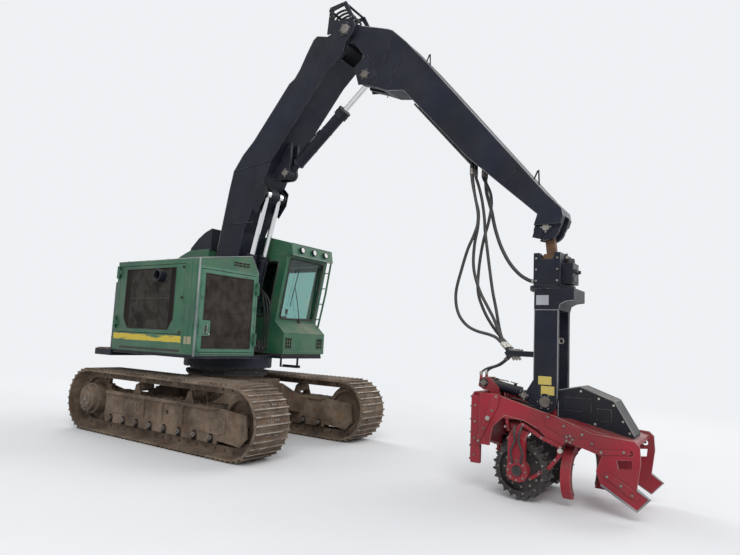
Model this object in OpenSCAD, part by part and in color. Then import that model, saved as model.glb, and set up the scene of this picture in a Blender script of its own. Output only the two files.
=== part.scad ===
// Tracked forestry harvester: swing machine with a raised boom, a stick and a hanging harvesting head.
// Millimetres. The origin is on the ground under the swing axis, +X forward, +Y to the cab side, +Z up.

/* [Undercarriage] */
// Distance between the centre lines of the two tracks
track_gauge = 2470; // [2300:10:2700]
// Width of a track shoe
shoe_w = 676; // [600:2:720]
// Height of a track over its grousers
track_h = 1062; // [1000:2:1120]
// Distance from the idler axle to the sprocket axle
wheel_base = 3700; // [3500:10:3900]
// Nominal pitch of the track shoes
shoe_pitch = 203; // [190:1:230]
// Height of the grouser bars on a shoe
grouser_h = 28; // [15:1:40]
// Thickness of a shoe plate
shoe_t = 22; // [16:1:30]
// Height of the track chain under its shoes
chain_h = 112; // [90:1:130]
// Width over the two rails of a track chain
chain_w = 216; // [190:2:240]
// Thickness of one rail of a track chain
rail_t = 56; // [40:1:70]
// Width of the track frame beam between its guards
beam_w = 300; // [260:2:330]
// Thickness of the track frame guards
guard_t = 28; // [20:1:40]
// Radius of a bottom roller
roller_r = 88; // [70:1:95]
// Bottom rollers on each side
rollers_n = 8; // [6:1:9]
// Radius of the pins that carry the tow shackles
tow_bore_r = 27; // [20:1:35]
// Top of the slewing ring
ring_top = 1262; // [1240:2:1290]
// Radius of the slewing ring
ring_r = 700; // [640:5:740]

/* [Upper machine] */
// Top of the platform that carries the housings
deck_top = 1417; // [1400:1:1440]
// Thickness of the platform plates
deck_t = 46; // [30:1:60]
// Radius of the drum under the platform
drum_r = 770; // [740:5:800]
// Half width of the upper machine
body_half_w = 1500; // [1450:10:1550]
// Front face of the right housing
house_front = 880; // [840:5:920]
// Rear face of the right housing
house_rear = -1270; // [-1350:5:-1200]
// Height of the right housing's roof at its outer edge
house_top = 2914; // [2800:2:3000]
// Wall of the housings
house_wall = 40; // [25:1:50]
// Front of the cab's lower panel
cab_front = 970; // [930:5:1000]
// Rear wall of the cab
cab_rear = -880; // [-950:5:-820]
// Inner side wall of the cab, from the centre line
cab_inner = 362; // [356:2:420]
// Underside of the cab
cab_floor_z = 1455; // [1440:1:1480]
// Top edge of the cab walls
cab_top = 3250; // [3200:5:3300]
// Wall of the cab
cab_wall = 60; // [40:1:70]
// Gap around a door
door_gap = 10; // [8:1:14]
// Rear end of the machine on its centre line
tail_x = -2220; // [-2350:5:-2150]

/* [Boom and stick] */
// Centre plane of the boom, from the swing axis
boom_y = 55; // [40:1:60]
// Width of the boom
boom_w = 556; // [520:2:570]
// Boom foot pin, forward of the swing axis
foot_x = -220; // [-240:5:-200]
// Boom foot pin, above the ground
foot_z = 2300; // [2250:5:2350]
// Radius of the boom foot pin
foot_pin_r = 50; // [40:1:60]
// Stick pivot, forward of the boom foot
stick_dx = 2670; // [2650:5:2690]
// Stick pivot, above the boom foot
stick_dz = 4500; // [4480:5:4520]
// Width of the stick
stick_w = 400; // [370:2:420]
// Radius of the stick pivot pin
stick_pin_r = 50; // [40:1:60]
// Radius of a lift cylinder barrel
lift_r = 82; // [70:1:90]
// Radius of a lift cylinder rod
lift_rod_r = 48; // [35:1:52]
// Distance from the boom's centre plane to each lift cylinder
lift_y = 150; // [145:1:156]
// Radius of the stick cylinder barrel
stick_cyl_r = 95; // [80:1:100]
// Radius of the stick cylinder rod
stick_rod_r = 45; // [35:1:50]

/* [Harvesting head] */
// Head link pin, forward of the stick pivot
tip_dx = 3290; // [3270:5:3310]
// Head link pin, below the stick pivot
tip_dz = 3510; // [3490:5:3520]
// Radius of the head link pins
link_pin_r = 32; // [25:1:38]
// Distance from the link pin down to the cross pin
link_l = 390; // [380:2:400]
// Rotator axis, forward of the link pin
hang_dx = 45; // [0:5:60]
// Distance from the cross pin down to the head's tilt pin
hanger_l = 1770; // [1760:5:1790]
// Radius of the tilt pin
tilt_pin_r = 45; // [35:1:50]
// Half width of the head over its side plates
head_half_w = 500; // [490:2:510]
// Thickness of the head's side plates
plate_t = 30; // [20:1:36]
// Radius of a feed wheel over its spikes
wheel_r = 340; // [330:1:342]
// Width of a feed wheel
wheel_w = 220; // [200:2:226]
// Length of the saw bar
bar_l = 600; // [560:5:615]
// Running clearance at pins
fit = 0.05; // [0.02:0.01:0.1]
// Clearance of sliding rods and seated pieces
seat = 0.3; // [0.2:0.05:0.5]

/* [Hidden] */
$fn = 48;

// Colours as on the machine
green = [0.17, 0.36, 0.25];
black = [0.09, 0.10, 0.12];
mud = [0.33, 0.26, 0.20];
red = [0.60, 0.08, 0.11];
steel = [0.55, 0.55, 0.56];

// Track: radii from the wheel axles outwards, and the axle height
end_r = track_h / 2;
axle_z = end_r;
plate_out = end_r - grouser_h;
plate_in = plate_out - shoe_t;
chain_in = plate_in - chain_h;
pitch_r = plate_in;
half_base = wheel_base / 2;
side_y = track_gauge / 2;
loop_l = 2 * wheel_base + 2 * PI * pitch_r;
shoes_n = round(loop_l / shoe_pitch);
beam_bot = 350;
beam_top = 690;
beam_x0 = -1450;
beam_x1 = 1480;
guard_bot = 235;
idler_r = chain_in * cos(loop_l / shoes_n / (2 * PI * pitch_r) * 180) - seat;
roller_x0 = -1250;
roller_x1 = 1300;
carrier_r = 72;
carrier_xs = [-620, 720];
ring_bot = 1060;
body_half_x = 720;
body_half_y = 600;
tow_z = 700;

// Platform and housings
deck_bot = deck_top - deck_t;
channel_r = -250;
roof_inner_z = house_top + 171;
side_door_x0 = house_rear + 90;
side_door_x1 = house_front - 340;
side_door_z0 = deck_top + 313;
side_door_z1 = house_top - 84;
side_hinge_z = [side_door_z0 + 120, side_door_z1 - 130];
front_door_z0 = deck_top + 58;
front_door_z1 = house_top - 164;
front_hinge_z = [front_door_z0 + 175, front_door_z1 - 250];
// Rear housing: its rear face and its top behind the boom
hood_rear = house_rear - 430;
hood_top = house_top + 396;
hood_front = house_rear + 810;
door_t = house_wall;
hinge_r = 26;
hinge_pin_r = 13;
hinge_h = 70;
hinge_out = 32;
hinge_off = 6;

// Cab outline in the XZ plane
cab_outer = body_half_w;
cab_mid = (cab_inner + cab_outer) / 2;
sill_x = cab_front - 234;
sill_z = cab_floor_z + 575;
panel_top = cab_floor_z + 377;
brow_x = cab_front - 21;
brow_z = cab_top - 30;
cab_door_x0 = cab_rear + 580;
cab_door_z0 = cab_floor_z + 105;
cab_door_z1 = cab_top - 100;
cab_hinge_z = [cab_door_z0 + 190, cab_door_z1 - 400];
window_z0 = cab_floor_z + 665;
window_z1 = cab_top - 130;
// Front edge of the door: the foot of the door, its knee, and its top
door_foot = [cab_front - 410, cab_floor_z + 445];
door_knee = [cab_front - 350, cab_floor_z + 605];
door_head = [cab_front - 155, cab_door_z1];

// Boom kinematic points, [x, z]
foot = [foot_x, foot_z];
stick_p = foot + [stick_dx, stick_dz];
lift_base = [120, 1640];
lift_top = foot + [1020, 1950];
stick_cyl_base = foot + [1380, 2300];
stick_cyl_top = stick_p + [390, -830];
tip_p = stick_p + [tip_dx, -tip_dz];
cross_p = tip_p + [hang_dx, -link_l];
tilt_p = cross_p + [0, -hanger_l];
tilt_base = tilt_p + [-800, 170];
tilt_top = tilt_p + [-250, 60];
tilt_y = boom_y - 122;

// Rotator and hanger levels above the ground
rot_top = cross_p[1] + 60;
rot_bot = cross_p[1] - 350;
flange_bot = rot_bot - 50;
crown_bot = tilt_p[1] + 1110;
leg_in = 195;
leg_out = 255;
leg_half_x = 145;

// Head: positions from the tilt pin, and half widths from the boom's centre plane
head_deck_z = -170;
head_deck_t = 45;
head_bend = 300;
head_nose = [1030, -330];
head_fall = (head_deck_z - head_nose[1]) / (head_nose[0] - head_bend);
wheel_c = [-190, -770];
wheel_in = 330;
feed_pivot = [355, -310];
feed_pin_r = 35;
knife_pivot = [255, -435];
knife_pin_r = 30;
saw_pivot = [345, -610];
tilt_base_r = 30;
saw_pin_r = 30;
saw_x = -850;
saw_gap = 75;
saw_face = saw_x + 40 + saw_gap + seat;
knife_xs = [260, 440];
knife_t = 110;

// Hoses from the stick to the manifold on the hanger, and to the rotator: outer radii, then the routes
// from the stick's pivot
hose_r = 21;
fat_hose_r = 25;
thin_hose_r = 14;
ferrule = 4;
manifold = tilt_p + [-485, 560];
hose_top_z = stick_p[1] - 2600;
hose_ends_y = [-70, -10, 50, 110];
head_hose_ys = [[-40, -158], [30, 24]];
rotator_port = [cross_p[0] - 226, 190, rot_bot + 90];
hose_shapes = [
    [[2240, -70, -2600], [2240, -70, -2650], [2242, -70, -2700], [2260, -70, -2820], [2305, -70, -3020],
        [2350, -70, -3240], [2346, -70, -3400], [2295, -70, -3550], [2210, -70, -3740], [2120, -70, -4040],
        [2060, -70, -4280], [2060, -70, -4470], [2115, -70, -4640], [2230, -70, -4770], [2370, -70, -4840],
        [2540, -70, -4880], [2640, -70, -4915], [2706, -70, -4966], [2746, -70, -5006], [2786, -70, -5046]],
    [[2230, -20, -2600], [2230, -20, -2650], [2232, -20, -2700], [2255, -20, -2860], [2290, -20, -3040],
        [2335, -20, -3220], [2330, -20, -3430], [2290, -20, -3650], [2278, -20, -3910], [2315, -20, -4120],
        [2395, -18, -4330], [2495, -15, -4510], [2590, -12, -4680], [2660, -10, -4850], [2706, -10, -4966],
        [2746, -10, -5006], [2786, -10, -5046]],
    [[2250, 55, -2600], [2250, 55, -2650], [2253, 55, -2700], [2300, 55, -2840], [2350, 55, -3030],
        [2390, 55, -3280], [2405, 55, -3460], [2435, 55, -3670], [2485, 55, -4000], [2535, 55, -4300],
        [2590, 52, -4540], [2630, 50, -4740], [2665, 50, -4880], [2706, 50, -4966], [2746, 50, -5006],
        [2786, 50, -5046]],
    [[2335, 115, -2600], [2335, 115, -2650], [2337, 115, -2700], [2395, 115, -2810], [2450, 115, -2940],
        [2465, 115, -3110], [2425, 115, -3350], [2362, 115, -3580], [2315, 115, -3860], [2292, 115, -4160],
        [2310, 113, -4350], [2380, 112, -4530], [2470, 110, -4690], [2590, 110, -4850], [2706, 110, -4966],
        [2746, 110, -5006], [2786, 110, -5046]],
    [[2340, 190, -2600], [2340, 190, -2660], [2340, 190, -2720], [2355, 190, -2880], [2400, 190, -3040],
        [2442, 190, -3180], [2495, 190, -3410], [2585, 190, -3670], [2710, 190, -3900], [2850, 190, -4060],
        [2970, 190, -4140], [3030, 190, -4160], [3070, 190, -4160], [3109, 190, -4160]]
];
hose_routes = [for (route = hose_shapes) [for (q = route) q + [stick_p[0], 0, stick_p[1]]]];
head_hose_route = shift([[-542, 503], [-570, 475], [-598, 447], [-655, 403], [-715, 375], [-775, 352],
    [-821, 322], [-842, 292], [-845, 275], [-845, 261]], tilt_p);
hook_port = tilt_p + [-845, 260.5];

// Solids from an outline of [x, z] points between two y planes
module slab_y(pts, y0, y1)
    translate([0, y1, 0]) rotate([90, 0, 0]) linear_extrude(height = y1 - y0) polygon(pts);

// Solids from an outline of [y, z] points between two x planes
module slab_x(pts, x0, x1)
    translate([x0, 0, 0]) rotate([90, 0, 90]) linear_extrude(height = x1 - x0) polygon(pts);

module box(x0, x1, y0, y1, z0, z1)
    translate([x0, y0, z0]) cube([x1 - x0, y1 - y0, z1 - z0]);

module rod_y(p, r, y0, y1)
    translate([p[0], y1, p[1]]) rotate([90, 0, 0]) cylinder(r = r, h = y1 - y0);

module rod_x(y, z, r, x0, x1)
    translate([x0, y, z]) rotate([0, 90, 0]) cylinder(r = r, h = x1 - x0);

// Points of an arc about c, radius r, from angle a0 to a1
function arc(c, r, a0, a1, n = 12) =
    [for (i = [0:n]) let (a = a0 + (a1 - a0) * i / n) c + r * [cos(a), sin(a)]];

function shift(pts, p) = [for (q = pts) q + p];

// A cylinder from point a to point b of the XZ plane, started and stopped at distances along it
module along(a, b, y, r, from, to) {
    ang = atan2(b[1] - a[1], b[0] - a[0]);
    translate([a[0], y, a[1]]) rotate([0, 90 - ang, 0])
        translate([0, 0, from]) cylinder(r = r, h = to - from);
}

// Rounded route through the points p, with n steps between them
function rounded(p, n) = concat([for (i = [0:len(p) - 2])
    let (a = p[max(i - 1, 0)], b = p[i], c = p[i + 1], d = p[min(i + 2, len(p) - 1)])
    for (k = [0:n - 1]) let (t = k / n)
        b + (c - a) * t / 2 + (2 * a - 5 * b + 4 * c - d) * t * t / 2 + (3 * b - a - 3 * c + d) * t * t
            * t / 2],
    [p[len(p) - 1]]);

// Round tube of radius r along a route that never runs along Y
module tube(path, r, sides) {
    n = len(path);
    rings = [for (i = [0:n - 1])
        let (step = path[min(i + 1, n - 1)] - path[max(i - 1, 0)], t = step / norm(step),
            side = cross([0, 1, 0], t), u = side / norm(side), v = cross(t, u))
        for (k = [0:sides - 1]) path[i] + r * (cos(360 * k / sides) * u + sin(360 * k / sides) * v)];
    walls = [for (i = [0:n - 2]) for (k = [0:sides - 1])
        let (a = i * sides + k, b = i * sides + (k + 1) % sides)
        for (f = [[a, a + sides, b + sides], [a, b + sides, b]]) f];
    polyhedron(rings, concat([[for (k = [0:sides - 1]) k]], walls,
        [[for (k = [0:sides - 1]) n * sides - 1 - k]]));
}

module hose(i)
    color(black) tube(rounded(hose_routes[i], i == 1 || i == 4 ? 3 : 2), i == 4 ? fat_hose_r : hose_r, 10);

module head_hose(i)
    color(black) tube([for (q = rounded([for (k = [0:len(head_hose_route) - 1])
        let (p = head_hose_route[k], f = max(0, min(1, (k - 2) / 5)))
        [p[0], head_hose_ys[i][0] * (1 - f) + head_hose_ys[i][1] * f, p[1]]], 3)) q], thin_hose_r, 10);

// Hinge: the part on the frame, with its pin along Z, and the knuckle on the door
module hinge_frame(x, y, z, leaf) {
    translate([x, y, z]) {
        for (dz = [-hinge_h, hinge_h + seat]) translate([0, 0, dz]) cylinder(r = hinge_r,
            h = hinge_h - seat);
        translate([0, 0, -hinge_h / 2]) cylinder(r = hinge_pin_r, h = 2 * hinge_h);
    }
    for (dz = [-hinge_h, hinge_h + seat])
        translate([min(x, leaf[0]), min(y, leaf[1]), z + dz])
            cube([abs(leaf[0] - x), abs(leaf[1] - y), hinge_h - seat]);
}

// Its arm stays outside the face, and only its pad enters the door
module hinge_door(x, y, z, arm, pad)
    difference() {
        union() {
            translate([x, y, z]) cylinder(r = hinge_r, h = hinge_h);
            for (b = [[[x, y], arm], pad])
                translate([min(b[0][0], b[1][0]), min(b[0][1], b[1][1]), z])
                    cube([abs(b[0][0] - b[1][0]), abs(b[0][1] - b[1][1]), hinge_h]);
        }
        translate([x, y, z - 1]) cylinder(r = hinge_pin_r + fit, h = hinge_h + 2);
    }

// Point on the track's loop at length s, at an offset outwards from the pitch line
function loop_pt(s, off) =
    let (a = PI * pitch_r, l = wheel_base, q = s % loop_l)
    q < l ? [-half_base + q, axle_z + pitch_r + off]
    : q < l + a ? let (t = 90 - (q - l) / a * 180)
        [half_base + (pitch_r + off) * cos(t), axle_z + (pitch_r + off) * sin(t)]
    : q < 2 * l + a ? [half_base - (q - l - a), axle_z - pitch_r - off]
    : let (t = 270 - (q - 2 * l - a) / a * 180)
        [-half_base + (pitch_r + off) * cos(t), axle_z + (pitch_r + off) * sin(t)];

// Outline of one shoe: [share of the pitch, height over the pitch line]
shoe_rows = [
    [0.02, shoe_t], [0.10, shoe_t], [0.13, shoe_t + grouser_h], [0.22, shoe_t + grouser_h],
    [0.25, shoe_t], [0.62, shoe_t], [0.65, shoe_t + grouser_h], [0.74, shoe_t + grouser_h],
    [0.77, shoe_t], [0.98, shoe_t], [1.00, 4]
];

module track() {
    step = loop_l / shoes_n;
    outer = [for (i = [0:shoes_n - 1]) for (row = shoe_rows) loop_pt((i + row[0]) * step, row[1])];
    function ring(off) = [for (i = [0:shoes_n - 1]) loop_pt((i + 1) * step, off)];
    color(mud) {
        difference() {
            slab_y(outer, -shoe_w / 2, shoe_w / 2);
            slab_y(ring(0), -shoe_w, shoe_w);
        }
        for (s = [-1, 1]) difference() {
            slab_y(ring(3), s * chain_w / 2 - (s > 0 ? rail_t : 0), s * chain_w / 2 + (s < 0 ? rail_t : 0));
            slab_y(ring(-chain_h), -shoe_w, shoe_w);
        }
    }
}

function roller_x(i) = roller_x0 + (roller_x1 - roller_x0) * i / (rollers_n - 1);
roller_z = axle_z - chain_in + roller_r + seat;
carrier_z = axle_z + chain_in - carrier_r - seat;

// Bottom rollers, carrier rollers and the idler of one side, on the track's centre plane
module running_gear() {
    shaft = beam_w / 2 - seat;
    color(mud) {
        for (i = [0:rollers_n - 1]) translate([roller_x(i), 0, 0]) {
            rod_y([0, roller_z], roller_r, -chain_w / 2, chain_w / 2);
            rod_y([0, roller_z], 34, -shaft, shaft);
        }
        for (x = carrier_xs) {
            rod_y([x, carrier_z], carrier_r, -chain_w / 2 + 12, chain_w / 2 - 12);
            rod_y([x, carrier_z], 28, -shaft + 25, shaft - 25);
        }
        difference() {
            union() {
                rod_y([half_base, axle_z], idler_r, -chain_w / 2, chain_w / 2);
                rod_y([half_base, axle_z], chain_in + 42, -44, 44);
            }
            for (s = [-1, 1]) difference() {
                rod_y([half_base, axle_z], chain_in - 60, s * 80 - 46, s * 80 + 46);
                rod_y([half_base, axle_z], 130, -200, 200);
            }
        }
        rod_y([half_base, axle_z], 52, -shaft, shaft);
    }
}

// Final drive with its sprocket, mounted on the frame's inner side plate
module final_drive() {
    c = [-half_base, axle_z];
    teeth = 21;
    color(mud) {
        slab_y([for (i = [0:teeth - 1]) for (k = [0, 1, 2, 3])
            c + (k == 1 || k == 2 ? chain_in + 44 : chain_in - 8)
                * [cos((i + k / 4.6) * 360 / teeth), sin((i + k / 4.6) * 360 / teeth)]], -34, 34);
        rod_y(c, 265, -beam_w / 2 + guard_t + seat, 210);
        rod_y(c, 215, 200, 290);
        rod_y(c, 150, 280, 312);
    }
}

module track_frame() {
    h = beam_w / 2;
    guard = [[beam_x0, guard_bot + 40], [beam_x0 + 80, guard_bot], [beam_x1 - 60, guard_bot],
        [half_base + 60, 200], [half_base + 190, 330], [half_base + 150, 640], [beam_x1, beam_top],
        [beam_x0 + 30, beam_top + 20]];
    color(mud) {
        difference() {
            union() {
                box(beam_x0 + 60, beam_x1 - 80, -h, h, beam_bot, beam_top);
                slab_y(guard, h, h + guard_t);
                slab_y(guard, -h - guard_t, -h);
            }
            // Mud holes through the beam
            for (x = [-900, 250, 1150]) rod_y([x, 505], 42, -400, 400);
        }
        // Carrier roller brackets
        for (x = carrier_xs) for (s = [-1, 1])
            slab_y(concat([[x - 110, beam_top - 20], [x + 110, beam_top - 20]],
                arc([x, carrier_z], 50, -10, 190)), s * (h - 25) - (s > 0 ? 0 : 20),
                    s * (h - 25) + (s > 0 ? 20 : 0));
        // Mount of the final drive
        slab_y(concat([[beam_x0 + 110, beam_bot - 60], [beam_x0 + 110, beam_top + 10]],
            arc([-half_base, axle_z], 262, 60, 300)), -h, -h + guard_t);
    }
}

module carbody() {
    leg_z0 = 560;
    leg_z1 = 930;
    inner = side_y - beam_w / 2 - guard_t;
    color(mud) {
        box(-body_half_x, body_half_x, -body_half_y, body_half_y, leg_z0, 1000);
        // Legs out to the track frames
        for (s = [-1, 1]) for (x0 = [-body_half_x - 130, body_half_x - 270])
            slab_x([[s * (body_half_y - 60), leg_z0 - 60], [s * (inner - seat), 380],
                [s * (inner - seat), 680],
                [s * (body_half_y - 60), leg_z1]], x0, x0 + 400);
        translate([0, 0, 990]) cylinder(r = ring_r - 60, h = ring_bot - 990);
        // Tow lugs front and rear
        for (s = [-1, 1]) difference() {
            translate([0, 0, tow_z - 30]) linear_extrude(height = 60)
                polygon([for (q = concat([[body_half_x - 20, 100], [body_half_x - 20, -100]],
                    arc([body_half_x + 130, 0], 75, -80, 80))) [s * q[0], q[1]]]);
            translate([s * (body_half_x + 130), 0, tow_z - 60]) cylinder(r = tow_bore_r, h = 120);
        }
    }
}

module slew_ring()
    color(steel) {
        translate([0, 0, ring_bot]) cylinder(r = ring_r, h = 80);
        translate([0, 0, ring_bot + 70]) cylinder(r = ring_r - 50, h = ring_top - ring_bot - 70);
    }

module turntable()
    color(black) {
        translate([0, 0, ring_top + seat]) cylinder(r = drum_r, h = deck_bot - ring_top - seat);
        translate([0, 0, ring_top - 60]) difference() {
            cylinder(r = drum_r, h = 80);
            translate([0, 0, -1]) cylinder(r = ring_r + 20, h = 90);
        }
    }

// Platform: the plates under the housings and the cab, and the main frame between them
module deck()
    color(black) {
        box(house_rear, house_front, -body_half_w + 20, channel_r, deck_bot, deck_top - seat);
        box(hood_rear, house_front - 120, channel_r, cab_inner, deck_bot, deck_top - seat);
        box(hood_rear, cab_front - 40, cab_inner, cab_outer - 20, deck_bot, deck_top - seat);
        // Mounts of the cab
        for (x = [cab_rear + 120, cab_front - 240]) for (y = [cab_inner + 130, cab_outer - 130])
            translate([x, y, deck_top - 10]) cylinder(r = 60, h = cab_floor_z - deck_top + 10 - seat);
    }

tower_in = 238;
tower_t = 36;
boss_r = 205;

// Two upright plates with the boom foot pin and the base pin of the lift cylinders
module boom_tower() {
    side = concat([[330, deck_top], [340, 1600]], arc(foot, boss_r, 5, 175), [[-455, deck_top]]);
    y0 = boom_y - tower_in;
    y1 = boom_y + tower_in;
    color(black) {
        for (y = [y0 - tower_t, y1]) slab_y(side, y, y + tower_t);
        box(-455, 330, y0 - tower_t, y1 + tower_t, deck_top, deck_top + 60);
        rod_y(foot, foot_pin_r, y0 - tower_t, y1 + tower_t);
        rod_y(lift_base, 40, y0 - tower_t, y1 + tower_t);
    }
}

front_face = [[-body_half_w, deck_top], [channel_r, deck_top], [channel_r, house_top - 124],
    [channel_r - 180, roof_inner_z],
    [-body_half_w, house_top]];

module right_housing() {
    w = house_wall;
    inside = [[-body_half_w + w, deck_top + w], [channel_r - w, deck_top + w],
        [channel_r - w, house_top - 134],
        [channel_r - 198, roof_inner_z - w], [-body_half_w + w, house_top - w]];
    g = door_gap;
    color(green) {
        difference() {
            slab_x(front_face, house_rear, house_front);
            slab_x(inside, house_rear + w, house_front - w);
            box(house_front - 2 * w, house_front + 10, -body_half_w + 55 - g, channel_r - 45 + g,
                front_door_z0 - g, front_door_z1 + g);
            box(side_door_x0 - g, side_door_x1 + g, -body_half_w - 10, -body_half_w + 2 * w,
                side_door_z0 - g, side_door_z1 + g);
        }
        for (z = front_hinge_z)
            hinge_frame(house_front + hinge_out, channel_r - 32, z, [house_front - 10, channel_r - 18]);
        for (z = side_hinge_z)
            hinge_frame(side_door_x0 - 32, -body_half_w - hinge_out, z, [side_door_x0 - 50,
                -body_half_w + 10]);
    }
}

module front_door()
    color(green) {
        difference() {
            box(house_front - door_t, house_front, -body_half_w + 55, channel_r - 45, front_door_z0,
                front_door_z1);
            box(house_front - 12, house_front + 10, -body_half_w + 135, channel_r - 110, front_door_z0 + 55,
                front_door_z1 - 60);
        }
        for (z = front_hinge_z)
            hinge_door(house_front + hinge_out, channel_r - 32, z, [house_front + hinge_off, channel_r - 75],
                [[house_front - 10, channel_r - 75], [house_front + hinge_off + 5, channel_r - 50]]);
        box(house_front - 20, house_front + 12, -body_half_w + 62, -body_half_w + 270,
            front_door_z0 + 245, front_door_z0 + 485);
    }

module side_door() {
    x0 = side_door_x0 + 180;
    x1 = side_door_x1 - 220;
    z0 = side_door_z0 + 60;
    z1 = side_door_z1 - 50;
    mesh = [[x0, z1], [x1, z1], [x1, z0 + 170], [x1 - 120, z0], [x0 + 130, z0], [x0, z0 + 170]];
    duct = [x1 - 330, z1 - 130];
    color(green) {
        difference() {
            box(side_door_x0, side_door_x1, -body_half_w, -body_half_w + door_t, side_door_z0, side_door_z1);
            slab_y(mesh, -body_half_w - 10, -body_half_w + 12);
        }
        for (z = side_hinge_z)
            hinge_door(side_door_x0 - 32, -body_half_w - hinge_out, z, [side_door_x0 + 40,
                -body_half_w - hinge_off],
                [[side_door_x0 + 5, -body_half_w - hinge_off - 5], [side_door_x0 + 40, -body_half_w + 10]]);
    }
    color(black) difference() {
        rod_y(duct, 95, -body_half_w - 120, -body_half_w + door_t - 5);
        rod_y(duct, 80, -body_half_w - 130, -body_half_w - 10);
    }
}

// Rear housing: behind the boom and behind the cab
module engine_housing() {
    top = [[hood_rear, hood_top - 310], [house_rear, hood_top - 100], [house_rear + 280, hood_top]];
    color(green) {
        slab_y(concat([[hood_front, hood_top], [hood_front, deck_top], [hood_rear, deck_top]], top),
            channel_r + seat, cab_inner - 10);
        slab_y(concat([[cab_rear - 30, hood_top], [cab_rear - 30, deck_top], [hood_rear, deck_top]], top),
            cab_inner - 10, cab_outer - 10);
    }
}

module boom_hump()
    color(black)
        slab_y([for (q = [[-540, seat], [-540, 40], [-330, 220], [-140, 330], [30, 390], [30, seat]])
            [hood_front, hood_top] + q], channel_r + 14, cab_inner - 20);

module engine()
    color(steel) box(house_rear + 120, house_rear + 920, -body_half_w + house_wall + 130, channel_r - 370,
        deck_top + house_wall + seat, house_top - 434);

module counterweight() {
    w = body_half_w;
    plan = [[house_rear - seat, 60 - w], [house_rear - 370, 200 - w], [tail_x + 260, 500 - w],
        [tail_x + 60, 940 - w],
        [tail_x, 0], [tail_x + 60, w - 940], [tail_x + 230, w - 500], [hood_rear - seat, w - 100],
        [hood_rear - seat, channel_r], [house_rear - seat, channel_r]];
    skirt = [[house_rear - 20, -w], [hood_rear - 90, 10 - w], [tail_x + 70, 350 - w], [tail_x - 80, 900 - w],
        [tail_x - 120, 0], [tail_x - 80, w - 900], [tail_x + 70, w - 350], [hood_rear - 90, w - 10],
        [hood_rear - 10, w - 10], [hood_rear - 10, channel_r], [house_rear - 20, channel_r]];
    color(black) {
        translate([0, 0, deck_top - 10]) linear_extrude(height = house_top - deck_top - 307) polygon(plan);
        translate([0, 0, deck_bot - 61]) linear_extrude(height = deck_t + 61) polygon(skirt);
    }
}

cab_side = [[cab_rear, cab_floor_z], [cab_front, cab_floor_z], [cab_front, panel_top], [sill_x, sill_z],
    [brow_x, brow_z], [brow_x + 5, cab_top], [cab_rear, cab_top]];
cab_door_side = [[cab_door_x0, cab_door_z0], [door_foot[0], cab_door_z0], door_foot, door_knee, door_head,
    [cab_door_x0, cab_door_z1]];
// Windows as outlines of [x, z] in the side walls
side_window = [[cab_door_x0 + 60, window_z0], [door_foot[0], window_z0], [cab_front - 225, window_z1],
    [cab_door_x0 + 60, window_z1]];
rear_window_z = [window_z0 + 30, window_z1 - 20];
visor_low = [cab_front + 105, cab_top - 28];
visor_high = [cab_front + 65, cab_top + 190];
roof_top = cab_top + 330;
visor_lean = atan((visor_low[0] - visor_high[0]) / (visor_high[1] - visor_low[1]));

module cab_shell() {
    w = cab_wall;
    inner = [[cab_rear + w, cab_floor_z + w], [cab_front - w, cab_floor_z + w],
        [cab_front - w, panel_top - 28],
        [sill_x - w - 8, sill_z - 28], [brow_x - w - 10, cab_top + 10], [cab_rear + w, cab_top + 10]];
    g = door_gap;
    color(green) difference() {
        union() {
            slab_y(cab_side, cab_inner, cab_outer);
            for (z = cab_hinge_z)
                hinge_frame(cab_door_x0 - 32, cab_outer + hinge_out, z, [cab_door_x0 - 70, cab_outer - 10]);
        }
        slab_y(inner, cab_inner + w, cab_outer - w);
        // Door opening
        slab_y([[cab_door_x0 - g, cab_door_z0 - g], [door_foot[0] + g, cab_door_z0 - g], door_foot + [g, -2],
            door_knee + [g, -2], door_head + [g, g], [cab_door_x0 - g, cab_door_z1 + g]],
            cab_outer - 2 * w, cab_outer + 5);
        // Windows: inner side, windscreen, rear
        slab_y(side_window, cab_inner - 5, cab_inner + 2 * w);
        slab_y([[sill_x - 300, sill_z + 60], [sill_x + 200, sill_z + 60], [brow_x + 200, brow_z - 50],
            [brow_x - 300, brow_z - 50]], cab_inner + 100, cab_outer - 100);
        box(cab_rear - 10, cab_rear + 2 * w, cab_inner + 120, cab_outer - 120, rear_window_z[0],
            rear_window_z[1]);
    }
}

// Window panes, each let into its frame
module cab_glass() {
    t = 10;
    color([0.45, 0.70, 0.68, 0.5]) {
        slab_y([for (p = side_window) p + [p[0] > 0 ? -seat : seat, p[1] > window_z0 ? -seat : seat]],
            cab_inner + 20, cab_inner + 20 + t);
        lean = (brow_x - sill_x) / (brow_z - sill_z);
        slab_y([[sill_x - 30 + 60 * lean, sill_z + 60 + seat],
            [sill_x - 30 + t + 60 * lean, sill_z + 60 + seat],
            [brow_x - 30 + t - 50 * lean, brow_z - 50 - seat],
                [brow_x - 30 - 50 * lean, brow_z - 50 - seat]],
            cab_inner + 100 + seat, cab_outer - 100 - seat);
        box(cab_rear + 20, cab_rear + 20 + t, cab_inner + 120 + seat, cab_outer - 120 - seat,
            rear_window_z[0] + seat, rear_window_z[1] - seat);
    }
}

door_window = [[cab_door_x0 + 80, window_z0], [door_foot[0] - 30, window_z0],
    [door_head[0] - 100, window_z1 - 50], [cab_door_x0 + 80, window_z1 - 50]];

module cab_door()
    color(green) {
        difference() {
            slab_y(cab_door_side, cab_outer - cab_wall, cab_outer);
            slab_y(door_window, cab_outer - 100, cab_outer + 20);
        }
        for (z = cab_hinge_z)
            hinge_door(cab_door_x0 - 32, cab_outer + hinge_out, z, [cab_door_x0 + 50, cab_outer + hinge_off],
                [[cab_door_x0 + 5, cab_outer - 10], [cab_door_x0 + 50, cab_outer + hinge_off + 5]]);
    }

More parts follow.
